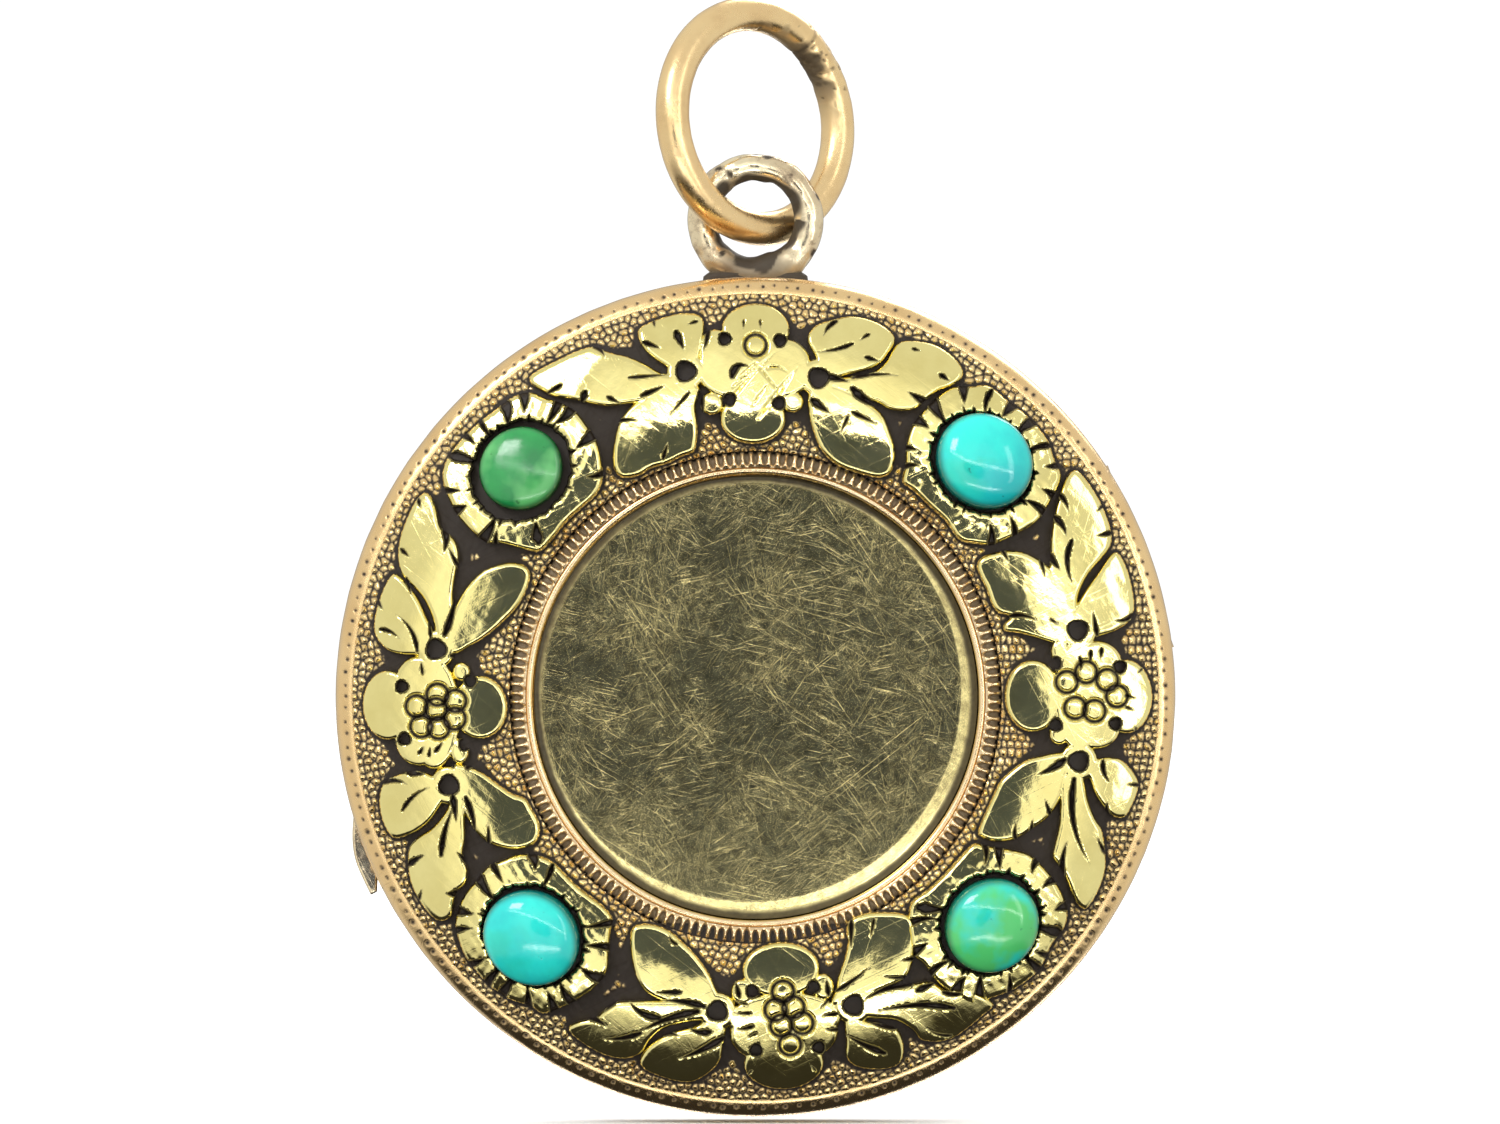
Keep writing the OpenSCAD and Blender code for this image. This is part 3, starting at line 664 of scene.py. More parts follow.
SPRAY_TOP = Spray(
    "spray_top", 90,
    lobes=[
        [(-1.8, 10.3), (-1.68, 10.7), (-1.6, 11.2), (-1.6, 11.6), (-1.8, 11.82), (-2.25, 11.86),
         (-2.8, 11.74), (-3.3, 11.56), (-3.62, 11.35), (-3.6, 11.0), (-3.42, 10.7), (-3.1, 10.42),
         (-2.7, 10.15), (-2.3, 9.8)],
        [(-2.3, 9.9), (-2.9, 10.0), (-3.4, 10.28), (-3.9, 10.5), (-4.5, 10.64), (-5.0, 10.82),
         (-5.5, 10.7), (-6.1, 10.42), (-6.6, 10.17), (-6.95, 9.93), (-6.95, 9.7), (-6.6, 9.46),
         (-6.2, 9.27), (-5.6, 9.17), (-5.0, 9.02), (-4.5, 8.96), (-4.1, 9.02), (-3.5, 9.1), (-2.6, 9.3)],
        [(-2.1, 9.8), (-2.9, 9.55), (-3.5, 9.22), (-3.9, 8.92), (-4.2, 8.5), (-4.35, 8.0),
         (-4.42, 7.4), (-4.35, 7.0), (-4.1, 6.76), (-3.6, 6.82), (-3.2, 7.05), (-2.7, 7.2),
         (-2.3, 7.4), (-1.9, 7.56), (-1.8, 7.9), (-1.78, 8.4), (-1.84, 9.0), (-1.7, 9.5)],
        [(1.75, 10.1), (1.85, 10.45), (1.62, 10.9), (1.62, 11.2), (1.9, 11.5), (2.4, 11.66),
         (2.9, 11.76), (3.4, 11.7), (3.9, 11.5), (4.25, 11.2), (4.3, 10.95), (4.1, 10.6),
         (3.85, 10.3), (3.45, 10.1), (2.9, 9.96), (2.2, 9.8)],
        [(2.1, 9.75), (3.0, 9.9), (3.6, 10.02), (4.0, 10.32), (4.25, 10.75), (4.5, 10.98),
         (5.0, 11.0), (5.6, 10.86), (6.1, 10.52), (6.4, 10.12), (6.35, 9.82), (6.0, 9.58),
         (5.6, 9.42), (5.2, 9.12), (4.9, 8.86), (4.4, 8.82), (4.05, 8.9), (3.7, 9.1), (2.6, 9.4)],
        [(1.8, 9.8), (2.5, 9.62), (3.1, 9.35), (3.6, 9.0), (3.95, 8.66), (4.15, 8.2), (4.3, 7.7),
         (4.3, 7.3), (4.15, 6.9), (3.8, 6.76), (3.3, 6.86), (2.7, 7.06), (2.3, 7.3), (2.0, 7.65),
         (1.8, 8.1), (1.65, 8.6), (1.6, 9.1), (1.65, 9.5)],
    ],
    petals=[(0.0, 11.32, 1.06, 0.84), (-1.25, 10.7, 0.5, 0.66), (-0.95, 10.4, 0.8, 0.8),
            (0.9, 10.3, 0.8, 0.75), (0, 10.0, 1.8, 0.95), (-1.35, 9.05, 0.36, 0.36),
            (1.15, 9.1, 0.34, 0.34), (-0.08, 8.6, 1.02, 0.8)],
    big_holes=[(-2.15, 10.05), (1.95, 9.85)],
    small_holes=[(-0.95, 11.05), (0.76, 11.0), (-0.8, 9.18), (0.72, 9.06)],
    berries=[(0.0, 10.85)],
    cuts=[(-3.15, 11.62, -3.1, 11.4, 0.04, 0), (-2.45, 11.25, -2.2, 10.7, 0.09, 0),
          (-1.8, 11.6, -2.1, 11.5, 0.04, 0), (-1.5, 11.5, -1.65, 10.65, 0.07, 0.1),
          (-3.45, 10.95, -2.9, 10.75, 0.06, 0), (-5.05, 10.9, -4.65, 10.5, 0.08, 0.1),
          (-6.0, 9.62, -6.55, 9.3, 0.06, 0), (-3.9, 9.85, -2.6, 9.95, 0.04, 0),
          (-5.25, 9.4, -5.4, 9.0, 0.09, 0), (-4.55, 9.25, -4.15, 9.05, 0.05, 0),
          (-3.5, 9.3, -2.75, 9.62, 0.06, 0), (-4.3, 8.5, -3.6, 8.52, 0.05, 0.06),
          (-2.05, 9.38, -2.65, 8.7, 0.04, 0), (-2.85, 7.35, -2.7, 7.85, 0.05, 0),
          (-1.72, 9.4, -1.6, 8.7, 0.08, 0), (-0.36, 11.62, -0.38, 11.36, 0.03, 0),
          (0.14, 11.62, 0.16, 11.38, 0.03, 0), (1.1, 11.3, 1.8, 10.4, 0.1, 0.05),
          (2.5, 11.6, 2.1, 11.15, 0.06, -0.1), (3.0, 10.9, 1.9, 10.65, 0.05, 0.05),
          (3.5, 11.2, 3.2, 11.0, 0.04, 0), (3.4, 10.48, 3.85, 10.35, 0.05, 0),
          (2.2, 9.9, 2.9, 9.72, 0.08, 0), (3.0, 9.85, 4.4, 9.92, 0.05, 0.05),
          (3.0, 9.5, 4.0, 8.9, 0.1, -0.08), (5.7, 9.95, 6.0, 9.75, 0.06, 0),
          (5.3, 9.05, 4.7, 9.42, 0.09, 0), (1.75, 9.15, 2.3, 8.75, 0.09, 0),
          (3.0, 8.78, 3.75, 8.42, 0.05, 0), (2.85, 8.65, 2.6, 8.1, 0.04, 0),
          (4.85, 10.75, 5.1, 10.68, 0.04, 0), (-0.72, 9.9, -0.2, 10.2, 0.09, 0.3)],
    scratches=[(-0.8, 9.1, 0.72, 10.75, 0.06, 0.03), (-0.7, 9.55, 0.6, 10.6, 0.05, 0),
               (-0.55, 9.8, 0.35, 10.65, 0.05, 0), (0.1, 8.6, 1.45, 10.35, 0.06, 0.02),
               (0.45, 8.9, 1.3, 10.15, 0.05, 0), (0.25, 10.1, 1.1, 9.9, 0.04, 0.2),
               (0.0, 10.3, 0.85, 9.25, 0.04, 0), (-0.1, 9.0, 0.5, 9.8, 0.04, 0)],
)

SPRAY_LEFT = Spray(
    "spray_left", 181,
    lobes=[
        [(-2.3, 9.9), (-2.12, 10.3), (-2.1, 10.7), (-2.2, 11.1), (-2.42, 11.5), (-2.8, 11.66),
         (-3.3, 11.66), (-3.8, 11.52), (-4.15, 11.26), (-4.12, 10.9), (-3.95, 10.5), (-3.66, 10.12),
         (-3.25, 9.82), (-2.7, 9.5)],
        [(-2.4, 9.35), (-3.1, 9.5), (-3.5, 9.72), (-3.9, 10.1), (-4.12, 10.46), (-4.42, 10.75),
         (-4.9, 10.82), (-5.5, 10.76), (-6.1, 10.5), (-6.6, 10.12), (-6.75, 9.8), (-6.6, 9.5),
         (-6.2, 9.42), (-5.85, 9.32), (-5.6, 9.04), (-5.2, 8.96), (-4.7, 9.1), (-4.2, 9.02),
         (-3.5, 9.02), (-2.8, 8.95)],
        [(-2.2, 9.4), (-3.0, 9.2), (-3.6, 8.94), (-4.1, 8.6), (-4.4, 8.2), (-4.55, 7.7),
         (-4.55, 7.3), (-4.4, 6.9), (-4.1, 6.72), (-3.7, 6.74), (-3.3, 6.95), (-2.98, 7.15),
         (-2.82, 7.55), (-2.5, 8.0), (-2.2, 8.4), (-2.0, 8.8), (-1.9, 9.3)],
        [(1.4, 10.0), (1.48, 10.5), (1.5, 10.9), (1.6, 11.25), (1.82, 11.52), (2.15, 11.72),
         (2.6, 11.73), (3.2, 11.57), (3.7, 11.36), (4.0, 11.12), (3.9, 10.9), (3.6, 10.62),
         (3.2, 10.34), (2.7, 10.12), (1.9, 9.8)],
        [(1.8, 9.75), (2.6, 9.92), (3.2, 10.18), (3.6, 10.5), (3.9, 10.8), (4.4, 10.96),
         (5.0, 10.92), (5.6, 10.72), (6.2, 10.42), (6.5, 10.1), (6.3, 9.86), (5.9, 9.72),
         (5.4, 9.6), (5.15, 9.3), (4.9, 9.12), (4.5, 9.06), (4.0, 9.16), (3.4, 9.26), (2.5, 9.3)],
        [(1.6, 9.6), (2.4, 9.45), (3.1, 9.14), (3.6, 8.82), (4.0, 8.42), (4.2, 8.0), (4.3, 7.5),
         (4.2, 7.05), (3.9, 6.87), (3.4, 7.0), (2.9, 7.3), (2.5, 7.68), (2.2, 8.02), (1.92, 8.4),
         (1.7, 8.8), (1.5, 9.2)],
    ],
    petals=[(-0.05, 11.34, 1.08, 0.8), (-1.1, 10.4, 0.85, 0.75), (0.6, 10.4, 0.85, 0.72),
            (-0.3, 9.95, 1.75, 0.85), (-1.5, 9.15, 0.4, 0.3), (0.95, 9.05, 0.3, 0.28),
            (-0.16, 8.5, 0.98, 0.86)],
    big_holes=[(-2.55, 9.5), (1.65, 9.82)],
    small_holes=[(-1.1, 10.85), (0.52, 10.9), (-1.3, 8.98), (0.65, 8.78)],
    berries=[(-0.72, 10.32), (-0.1, 10.45), (-0.78, 9.78), (-0.2, 9.85), (0.25, 9.8), (-0.5, 9.28),
             (0.05, 9.25)],
    cuts=[(-2.45, 11.6, -2.5, 10.8, 0.07, 0.12), (-3.3, 10.95, -2.6, 10.1, 0.05, 0.1),
          (-2.15, 10.75, -2.2, 10.2, 0.08, 0), (-4.6, 10.9, -4.2, 10.55, 0.06, 0.1),
          (-5.0, 10.8, -4.7, 10.3, 0.08, 0.05), (-6.1, 10.5, -5.75, 10.4, 0.04, 0),
          (-5.9, 9.25, -5.9, 9.65, 0.1, 0), (-4.7, 9.78, -3.2, 9.35, 0.07, 0.05),
          (-5.0, 8.9, -4.6, 9.3, 0.07, 0), (-2.9, 9.38, -3.7, 9.28, 0.08, 0),
          (-2.95, 8.98, -4.2, 8.7, 0.07, 0.05), (-4.4, 8.3, -3.7, 8.3, 0.05, 0),
          (-2.0, 9.35, -1.7, 9.3, 0.04, 0), (-2.0, 8.9, -1.6, 8.3, 0.1, 0.1),
          (-1.55, 10.4, -1.35, 10.25, 0.05, 0), (-1.5, 9.9, -1.2, 9.65, 0.05, 0),
          (-1.65, 10.1, -1.35, 10.05, 0.04, 0), (-1.7, 11.5, -1.15, 11.05, 0.12, 0.1),
          (2.3, 11.55, 2.0, 10.95, 0.05, 0.1), (1.6, 10.4, 2.75, 11.05, 0.05, -0.12),
          (3.2, 11.65, 2.9, 11.45, 0.06, 0), (3.85, 10.7, 3.3, 10.55, 0.05, 0),
          (2.0, 9.98, 2.75, 10.02, 0.04, 0), (2.1, 9.55, 3.4, 9.2, 0.08, -0.05),
          (5.4, 9.5, 4.6, 9.55, 0.09, 0.1), (4.2, 9.1, 4.8, 9.4, 0.05, 0),
          (4.75, 10.85, 4.5, 10.6, 0.05, 0), (6.3, 10.3, 6.0, 10.25, 0.05, 0),
          (1.45, 9.35, 1.4, 8.9, 0.06, 0), (0.9, 10.25, 1.3, 10.3, 0.04, 0)],
)

SPRAY_BOTTOM = Spray(
    "spray_bottom", 272.5,
    lobes=[
        [(-2.3, 10.0), (-2.32, 10.7), (-2.3, 11.2), (-2.55, 11.5), (-3.05, 11.64), (-3.6, 11.64),
         (-3.95, 11.5), (-4.1, 11.15), (-4.08, 10.75), (-3.92, 10.42), (-3.5, 10.24), (-2.9, 10.1),
         (-2.5, 9.8)],
        [(-2.3, 9.85), (-3.2, 10.06), (-3.9, 10.16), (-4.4, 10.48), (-4.65, 10.8), (-5.2, 10.88),
         (-5.7, 10.76), (-6.2, 10.44), (-6.6, 10.12), (-6.92, 9.85), (-6.75, 9.6), (-6.3, 9.38),
         (-5.9, 9.28), (-5.5, 9.3), (-5.15, 9.06), (-4.9, 8.97), (-4.4, 9.05), (-3.7, 9.1),
         (-2.8, 9.2)],
        [(-2.2, 9.6), (-3.2, 9.3), (-4.0, 9.0), (-4.35, 8.7), (-4.5, 8.3), (-4.57, 7.9),
         (-4.6, 7.4), (-4.5, 7.0), (-4.2, 6.84), (-3.7, 6.78), (-3.15, 6.78), (-2.65, 6.95),
         (-2.47, 7.25), (-2.5, 7.65), (-2.36, 8.2), (-2.16, 8.7), (-2.08, 9.1), (-1.9, 9.5)],
        [(1.35, 10.0), (1.45, 10.6), (1.58, 11.15), (1.9, 11.5), (2.4, 11.77), (2.9, 11.76),
         (3.4, 11.6), (3.9, 11.36), (4.06, 11.08), (3.9, 10.75), (3.5, 10.42), (2.9, 10.18),
         (2.3, 10.05), (1.8, 9.8)],
        [(1.8, 9.8), (2.7, 9.94), (3.3, 10.1), (3.72, 10.44), (4.0, 10.82), (4.5, 10.98),
         (5.1, 10.86), (5.7, 10.52), (6.15, 10.13), (6.18, 9.88), (5.8, 9.73), (5.4, 9.68),
         (5.1, 9.44), (4.7, 9.2), (4.2, 9.18), (3.5, 9.2), (2.4, 9.3)],
        [(1.5, 9.7), (2.4, 9.52), (3.1, 9.3), (3.7, 9.0), (4.0, 8.6), (4.15, 8.1), (4.2, 7.5),
         (4.15, 7.0), (3.9, 6.82), (3.4, 6.86), (2.9, 7.1), (2.6, 7.4), (2.3, 7.7), (2.0, 8.1),
         (1.76, 8.5), (1.6, 8.9), (1.45, 9.3)],
    ],
    petals=[(-0.38, 11.3, 1.24, 0.84), (-1.25, 10.35, 0.85, 0.8), (0.4, 10.35, 0.85, 0.8),
            (-0.45, 9.95, 1.75, 0.85), (-1.7, 9.0, 0.34, 0.42), (0.8, 9.05, 0.36, 0.4),
            (-0.42, 8.42, 1.2, 0.86)],
    big_holes=[(-2.6, 9.62), (1.6, 9.62)],
    small_holes=[(-1.48, 10.88), (0.46, 10.88), (-1.4, 9.0), (0.5, 9.05)],
    berries=[(-0.6, 10.75), (-1.0, 10.1), (-0.35, 10.15), (-0.75, 9.6), (-0.2, 9.65), (-0.45, 9.1)],
    cuts=[(-3.5, 11.15, -2.3, 10.5, 0.08, 0.03), (-3.95, 10.35, -3.0, 10.12, 0.08, 0.06),
          (-5.7, 9.85, -3.3, 9.85, 0.08, -0.06), (-5.6, 10.7, -4.8, 10.42, 0.04, 0.1),
          (-4.6, 9.25, -5.2, 9.02, 0.08, 0), (-5.4, 9.35, -6.2, 9.35, 0.06, -0.1),
          (-4.4, 9.05, -2.9, 9.5, 0.08, -0.08), (-4.45, 8.8, -3.5, 8.75, 0.05, 0.05),
          (-4.55, 8.25, -4.1, 8.3, 0.05, 0), (-2.1, 9.15, -3.2, 8.4, 0.05, -0.03),
          (-2.65, 7.0, -2.6, 7.9, 0.06, 0), (-3.35, 7.0, -3.2, 7.6, 0.04, 0),
          (-2.1, 9.85, -1.6, 9.9, 0.05, 0), (-2.15, 10.35, -1.7, 10.35, 0.05, 0),
          (-1.85, 9.4, -1.55, 9.7, 0.03, 0), (0.5, 10.12, 1.05, 10.2, 0.05, 0.05),
          (0.55, 9.72, 1.1, 9.7, 0.04, 0), (0.4, 10.35, 0.75, 10.5, 0.03, 0),
          (0.65, 9.45, 1.1, 9.3, 0.03, 0), (0.62, 11.5, 0.8, 11.7, 0.03, 0),
          (-1.35, 11.6, -1.2, 11.4, 0.03, 0), (1.45, 10.45, 2.9, 11.05, 0.09, 0.04),
          (1.85, 10.25, 2.5, 10.1, 0.08, 0.1), (3.4, 10.25, 2.8, 10.35, 0.07, 0.1),
          (2.2, 9.6, 4.1, 10.2, 0.09, -0.05), (4.0, 10.2, 5.2, 10.32, 0.07, 0.06),
          (3.4, 9.75, 4.3, 9.2, 0.09, 0.12), (5.6, 9.6, 5.0, 9.98, 0.08, 0.05),
          (2.0, 9.45, 3.3, 9.2, 0.08, -0.04), (2.7, 8.98, 3.5, 8.95, 0.06, 0),
          (4.7, 9.15, 5.1, 9.5, 0.06, 0), (2.75, 7.5, 2.95, 7.15, 0.04, 0.2),
          (0.9, 9.2, 1.0, 8.7, 0.06, 0), (-1.85, 9.25, -1.8, 8.75, 0.06, 0)],
)
SPRAYS = [SPRAY_RIGHT, SPRAY_TOP, SPRAY_LEFT, SPRAY_BOTTOM]


def to_flat(angle, local):
    """From a spray's or collet's own (u, v) to flat x and y."""
    out = np.array([cos(radians(angle)), sin(radians(angle))])
    side = np.array([out[1], -out[0]])
    return local[:, :1] * side + local[:, 1:] * out


def to_local(angle, flat):
    out = np.array([cos(radians(angle)), sin(radians(angle))])
    side = np.array([out[1], -out[0]])
    return np.column_stack((flat @ side, flat @ out))


BEVEL = 0.14            # width of the rounding along the edges of leaves
SMALL_HOLE_R = 0.21
BERRY_R = 0.33
GROOVE_HALF_W = 0.075


def bent_path(u0, v0, u1, v1, bend, count=6):
    start, end = np.array([u0, v0]), np.array([u1, v1])
    along = end - start
    side = np.array([-along[1], along[0]]) * bend
    t = np.linspace(0, 1, count + 1)[:, None]
    return start + along * t + side * 4 * t * (1 - t)


CUT_SPREAD = 1.4        # the cuts are this much wider than listed
CUT_SLOPE = 2.6
CUT_DEPTH = 0.24


def cut_depth(points, cuts):
    """Depth of the tapered cuts, and how dark they are."""
    depth, dark = np.zeros(len(points)), np.zeros(len(points))
    for u0, v0, u1, v1, width, bend in cuts:
        path = bent_path(u0, v0, u1, v1, bend)
        low, high = path.min(axis=0) - 0.3, path.max(axis=0) + 0.3
        near = np.flatnonzero(((points > low) & (points < high)).all(axis=1))
        if not len(near):
            continue
        best, where = np.full(len(near), 9.0), np.zeros(len(near))
        for k in range(len(path) - 1):
            distance, t = segment_distance(points[near], path[k], path[k + 1])
            closer = distance < best
            best[closer] = distance[closer]
            where[closer] = (k + t[closer]) / (len(path) - 1)
        half = CUT_SPREAD * width * (1 - where ** 1.6) * (0.6 + 0.4 * smooth_step(0, 0.2, where))
        depth[near] = np.maximum(depth[near], np.clip((half * 1.25 - best) * CUT_SLOPE, 0, CUT_DEPTH))
        dark[near] = np.maximum(dark[near], smooth_step(0.028, -0.02, best - half))
    return depth, dark


def round_edge(inside, width):
    """From 0 at an edge to 1 at the given distance inside it."""
    t = np.clip(inside / width, 0, 1)
    return np.sqrt(1 - (1 - t) ** 2)


def spray_surface(spray, local):
    inside = -spray.distance(local)
    flat = to_flat(spray.angle, local)
    ground = dome_h(np.linalg.norm(flat, axis=1))
    lift = LEAF_LIFT * (0.5 + 0.5 * round_edge(inside, BEVEL))
    seed = int(spray.angle)
    lift = lift + 0.006 * ripple(flat, 1.7, seed) + 0.0010 * ripple(flat, 0.45, seed + 7)
    depth, dark = cut_depth(local, spray.cuts)
    lift = lift - depth
    worn, _ = cut_depth(local, spray.scratches)
    lift = lift - 0.35 * worn
    for u, v in spray.berries:
        away = np.linalg.norm(local - (u, v), axis=1)
        groove = np.clip(1 - np.abs(away - BERRY_R) / (GROOVE_HALF_W * 1.5), 0, 1)
        lift = lift - 0.13 * groove + 0.03 * np.clip(1 - (away / BERRY_R) ** 2, 0, 1)
        dark = np.maximum(dark, smooth_step(GROOVE_HALF_W, 0.03, np.abs(away - BERRY_R)))
    for holes, r in ((spray.big_holes, HOLE_R), (spray.small_holes, SMALL_HOLE_R)):
        for k, (u, v) in enumerate(holes):
            rel = local - (u, v)
            away = np.hypot(rel[:, 0], rel[:, 1]) * (1 + 0.06 * np.sin(3 * np.arctan2(*rel.T) + k))
            pit = smooth_step(r + 0.02, r - 0.05, away)
            lift = lift * (1 - pit)
            dark = np.maximum(dark, smooth_step(r + 0.02, r - 0.02, away))
    return ground + np.maximum(lift, 0.0), dark, ground


def make_spray(spray):
    low = np.min([loop.min(axis=0) for loop in spray.loops], axis=0) - 0.1
    high = np.max([loop.max(axis=0) for loop in spray.loops], axis=0) + 0.1
    local, triangles = cut_to_shape(spray.distance, (*low, *high), DETAIL)
    height, dark, ground = spray_surface(spray, local)
    flat = to_flat(spray.angle, local)
    vertices, faces, ring = close_below(world(flat, height), triangles, world(flat, ground - 0.15))
    # painted shade: the walls grow fully dark towards their foot, under the edge where the leaf meets the
    # ground
    dark = np.concatenate((dark, np.ones(len(ring))))
    make_piece(spray.name, vertices, faces, "cover", spray.name, GREEN_GOLD, dark)


# ---- Collets ----

COLLET_LOOP = [(-1.5, 11.86), (-0.8, 12.02), (0.0, 12.1), (0.9, 12.0), (1.5, 11.78), (1.95, 11.5),
               (2.2, 11.1), (2.38, 10.6), (2.45, 10.05), (2.42, 9.5), (2.25, 9.0), (1.95, 8.45),
               (1.6, 8.08), (1.15, 7.9), (0.5, 7.96), (-0.2, 7.96), (-0.9, 7.93), (-1.4, 7.92),
               (-1.68, 8.3), (-2.05, 8.85), (-2.35, 9.3), (-2.45, 9.9), (-2.38, 10.5), (-2.18, 11.1),
               (-1.9, 11.55)]
OPENING_HALF_U = 1.66
OPENING_HALF_V = 1.47
OPENING_R = 1.56        # mean radius of the opening
NOTCHES = 17
OPENING_NICKS = 26


class Collet:
    """A leaf collet: its outline, cut notches and the ragged opening for the stone."""

    def __init__(self, name, angle, seed):
        rng = np.random.default_rng(seed)
        self.name = name
        self.angle = angle
        self.seed = seed
        wobble = rng.normal(0, 0.045, (len(COLLET_LOOP), 2))
        self.loop = smooth_loop(np.array(COLLET_LOOP) + wobble)
        self.phases = rng.uniform(0, 2 * pi, 4)
        self.cuts = []
        middle = np.array([0, STONE_PLACE_R])
        for k in range(NOTCHES):
            turn = (k + rng.uniform(-0.3, 0.3)) * 2 * pi / NOTCHES
            way = np.array([cos(turn), sin(turn)])
            edge = 2.62 if abs(way[1]) < 0.8 else 2.25
            length = rng.uniform(0.45, 1.0)
            start = middle + way * edge
            end = middle + way * (edge - 0.15 - length)
            skew = rng.uniform(-0.18, 0.18) * np.array([-way[1], way[0]])
            if abs(turn - 1.5 * pi) > 0.45:
                self.cuts.append((*start, *(end + skew), rng.uniform(0.07, 0.15), rng.uniform(-0.12, 0.12)))
        for k in range(OPENING_NICKS):
            turn = (k + rng.uniform(-0.4, 0.4)) * 2 * pi / OPENING_NICKS
            way = np.array([cos(turn) * OPENING_HALF_U, sin(turn) * OPENING_HALF_V])
            self.cuts.append((*(middle + way * 0.98), *(middle + way * rng.uniform(1.06, 1.16)),
                              rng.uniform(0.03, 0.06), 0))

    def distance(self, local):
        return loop_distance(local, self.loop)

    def opening(self, local):
        """Distance outside the stone's opening, in mm."""
        rel = local - (0, STONE_PLACE_R)
        turn = np.arctan2(rel[:, 1], rel[:, 0])
        rough = sum(0.014 * np.sin(n * turn + p) for n, p in zip((7, 12, 19, 31), self.phases))
        scaled = np.hypot(rel[:, 0] / OPENING_HALF_U, rel[:, 1] / OPENING_HALF_V)
        return (scaled - 1) * OPENING_R + rough


COLLETS = [Collet("collet_upper_right", 46, 11), Collet("collet_upper_left", 136, 12),
           Collet("collet_lower_left", 227, 13), Collet("collet_lower_right", 316, 14)]


def collet_surface(collet, local):
    inside = -collet.distance(local)
    flat = to_flat(collet.angle, local)
    ground = dome_h(np.linalg.norm(flat, axis=1))
    lift = COLLET_LIFT * (0.5 + 0.5 * round_edge(inside, BEVEL))
    lift = lift + 0.006 * ripple(flat, 1.3, collet.seed) + 0.004 * ripple(flat, 0.42, collet.seed + 5)
    depth, dark = cut_depth(local, collet.cuts)
    lift = lift - depth * 1.4
    out = collet.opening(local)
    floor = smooth_step(0.04, -0.04, out)
    lift = lift - 0.1 * (1 - round_edge(np.maximum(out, 0), 0.14)) * (1 - floor)
    lift = np.maximum(lift, 0.0) * (1 - floor) - 0.12 * floor
    dark = np.maximum(dark, smooth_step(0.03, -0.02, out))
    return ground + lift, dark, ground


def make_collet(collet):
    low, high = collet.loop.min(axis=0) - 0.1, collet.loop.max(axis=0) + 0.1
    local, triangles = cut_to_shape(collet.distance, (*low, *high), DETAIL)
    height, dark, ground = collet_surface(collet, local)
    flat = to_flat(collet.angle, local)
    vertices, faces, ring = close_below(world(flat, height), triangles, world(flat, ground - 0.2))
    # painted shade: the walls grow fully dark towards their foot, under the edge where the collet meets the
    # ground
    dark = np.concatenate((dark, np.ones(len(ring))))
    make_piece(collet.name, vertices, faces, "cover", collet.name, GREEN_GOLD,
               dark)


# ---- Stones ----

def make_stone(name, angle, half_u, half_v, top, material, lean=0.0):
    """A domed stone in its opening, on the slope of the dome."""
    tilt = asin((STONE_PLACE_R - CREST_R) / DOME_BEND_R)
    rise = np.linspace(0, pi / 2, 22)
    curve = [(np.cos(a) ** 0.92, 0.42 * top + 0.58 * top * np.sin(a)) for a in rise[:-1]]
    profile = [(0, -0.25), (0.9, -0.25), (0.98, -0.1), (1.0, 0.2 * top)] + curve + [(0, top)]
    segments = 128
    seed = int(angle)
    shade = {}

    def shape(vertices):
        u, v = vertices[:, 0] * half_u, vertices[:, 1] * half_v
        # painted shade: darker towards the stone's edge, where the collet shades it
        shade["edge"] = 0.8 * smooth_step(0.84, 1.0, np.hypot(vertices[:, 0], vertices[:, 1])) ** 1.5
        h = vertices[:, 2] + 0.008 * ripple(np.column_stack((u, v)), 1.6, seed)
        out = STONE_PLACE_R + v * cos(tilt) + h * sin(tilt)
        height = dome_h(STONE_PLACE_R) + h * cos(tilt) - v * sin(tilt)
        flat = to_flat(angle, np.column_stack((u + lean, out)))
        return np.column_stack((flat, height))

    vertices, faces = revolve(profile, segments, shape)
    make_piece(name, vertices, faces, "cover", name, material, shade["edge"], sharp=60)


# ---- Ground ----

PEBBLE = 0.25           # distance between the punched pebbles


def pebble_cells(flat, seed):
    """Distance to the nearest pebble's middle and to the next nearest, and the nearest's number."""
    r, turn = np.linalg.norm(flat, axis=1), np.arctan2(flat[:, 1], flat[:, 0]) % (2 * pi)
    row = np.round(r / (PEBBLE * 0.87)).astype(int)
    nearest, second = np.full(len(flat), 9.0), np.full(len(flat), 9.0)
    number = np.zeros(len(flat), dtype=int)
    for dr in (-1, 0, 1):
        ring = row + dr
        ring_r = ring * PEBBLE * 0.87
        count = np.maximum(np.round(2 * pi * ring_r / PEBBLE).astype(int), 1)
        base = np.floor(turn * count / (2 * pi)).astype(int)
        for dc in (-1, 0, 1, 2):
            cell = (base + dc) % count
            code = (ring * 7919 + cell * 104729 + seed * 31) & 0x7FFFFFFF
            jitter_a = ((code * 1103515245 + 12345) & 0xFFFF) / 65535 - 0.5
            jitter_b = ((code * 22695477 + 777) >> 3 & 0xFFFF) / 65535 - 0.5
            angle = (cell + jitter_a * 0.55) * 2 * pi / count
            far = ring_r + jitter_b * 0.55 * PEBBLE
            away = np.hypot(flat[:, 0] - far * np.cos(angle), flat[:, 1] - far * np.sin(angle))
            closer = away < nearest
            second = np.where(closer, nearest, np.minimum(second, away))
            number = np.where(closer, code, number)
            nearest = np.where(closer, away, nearest)
    return nearest, second, number


def ornament_distance(flat):
    best = np.full(len(flat), 9.0)
    for ornament in SPRAYS + COLLETS:
        local = to_local(ornament.angle, flat)
        near = (np.abs(local[:, 0]) < 7.8) & (local[:, 1] > 5)
        best[near] = np.minimum(best[near], ornament.distance(local[near]))
    return best


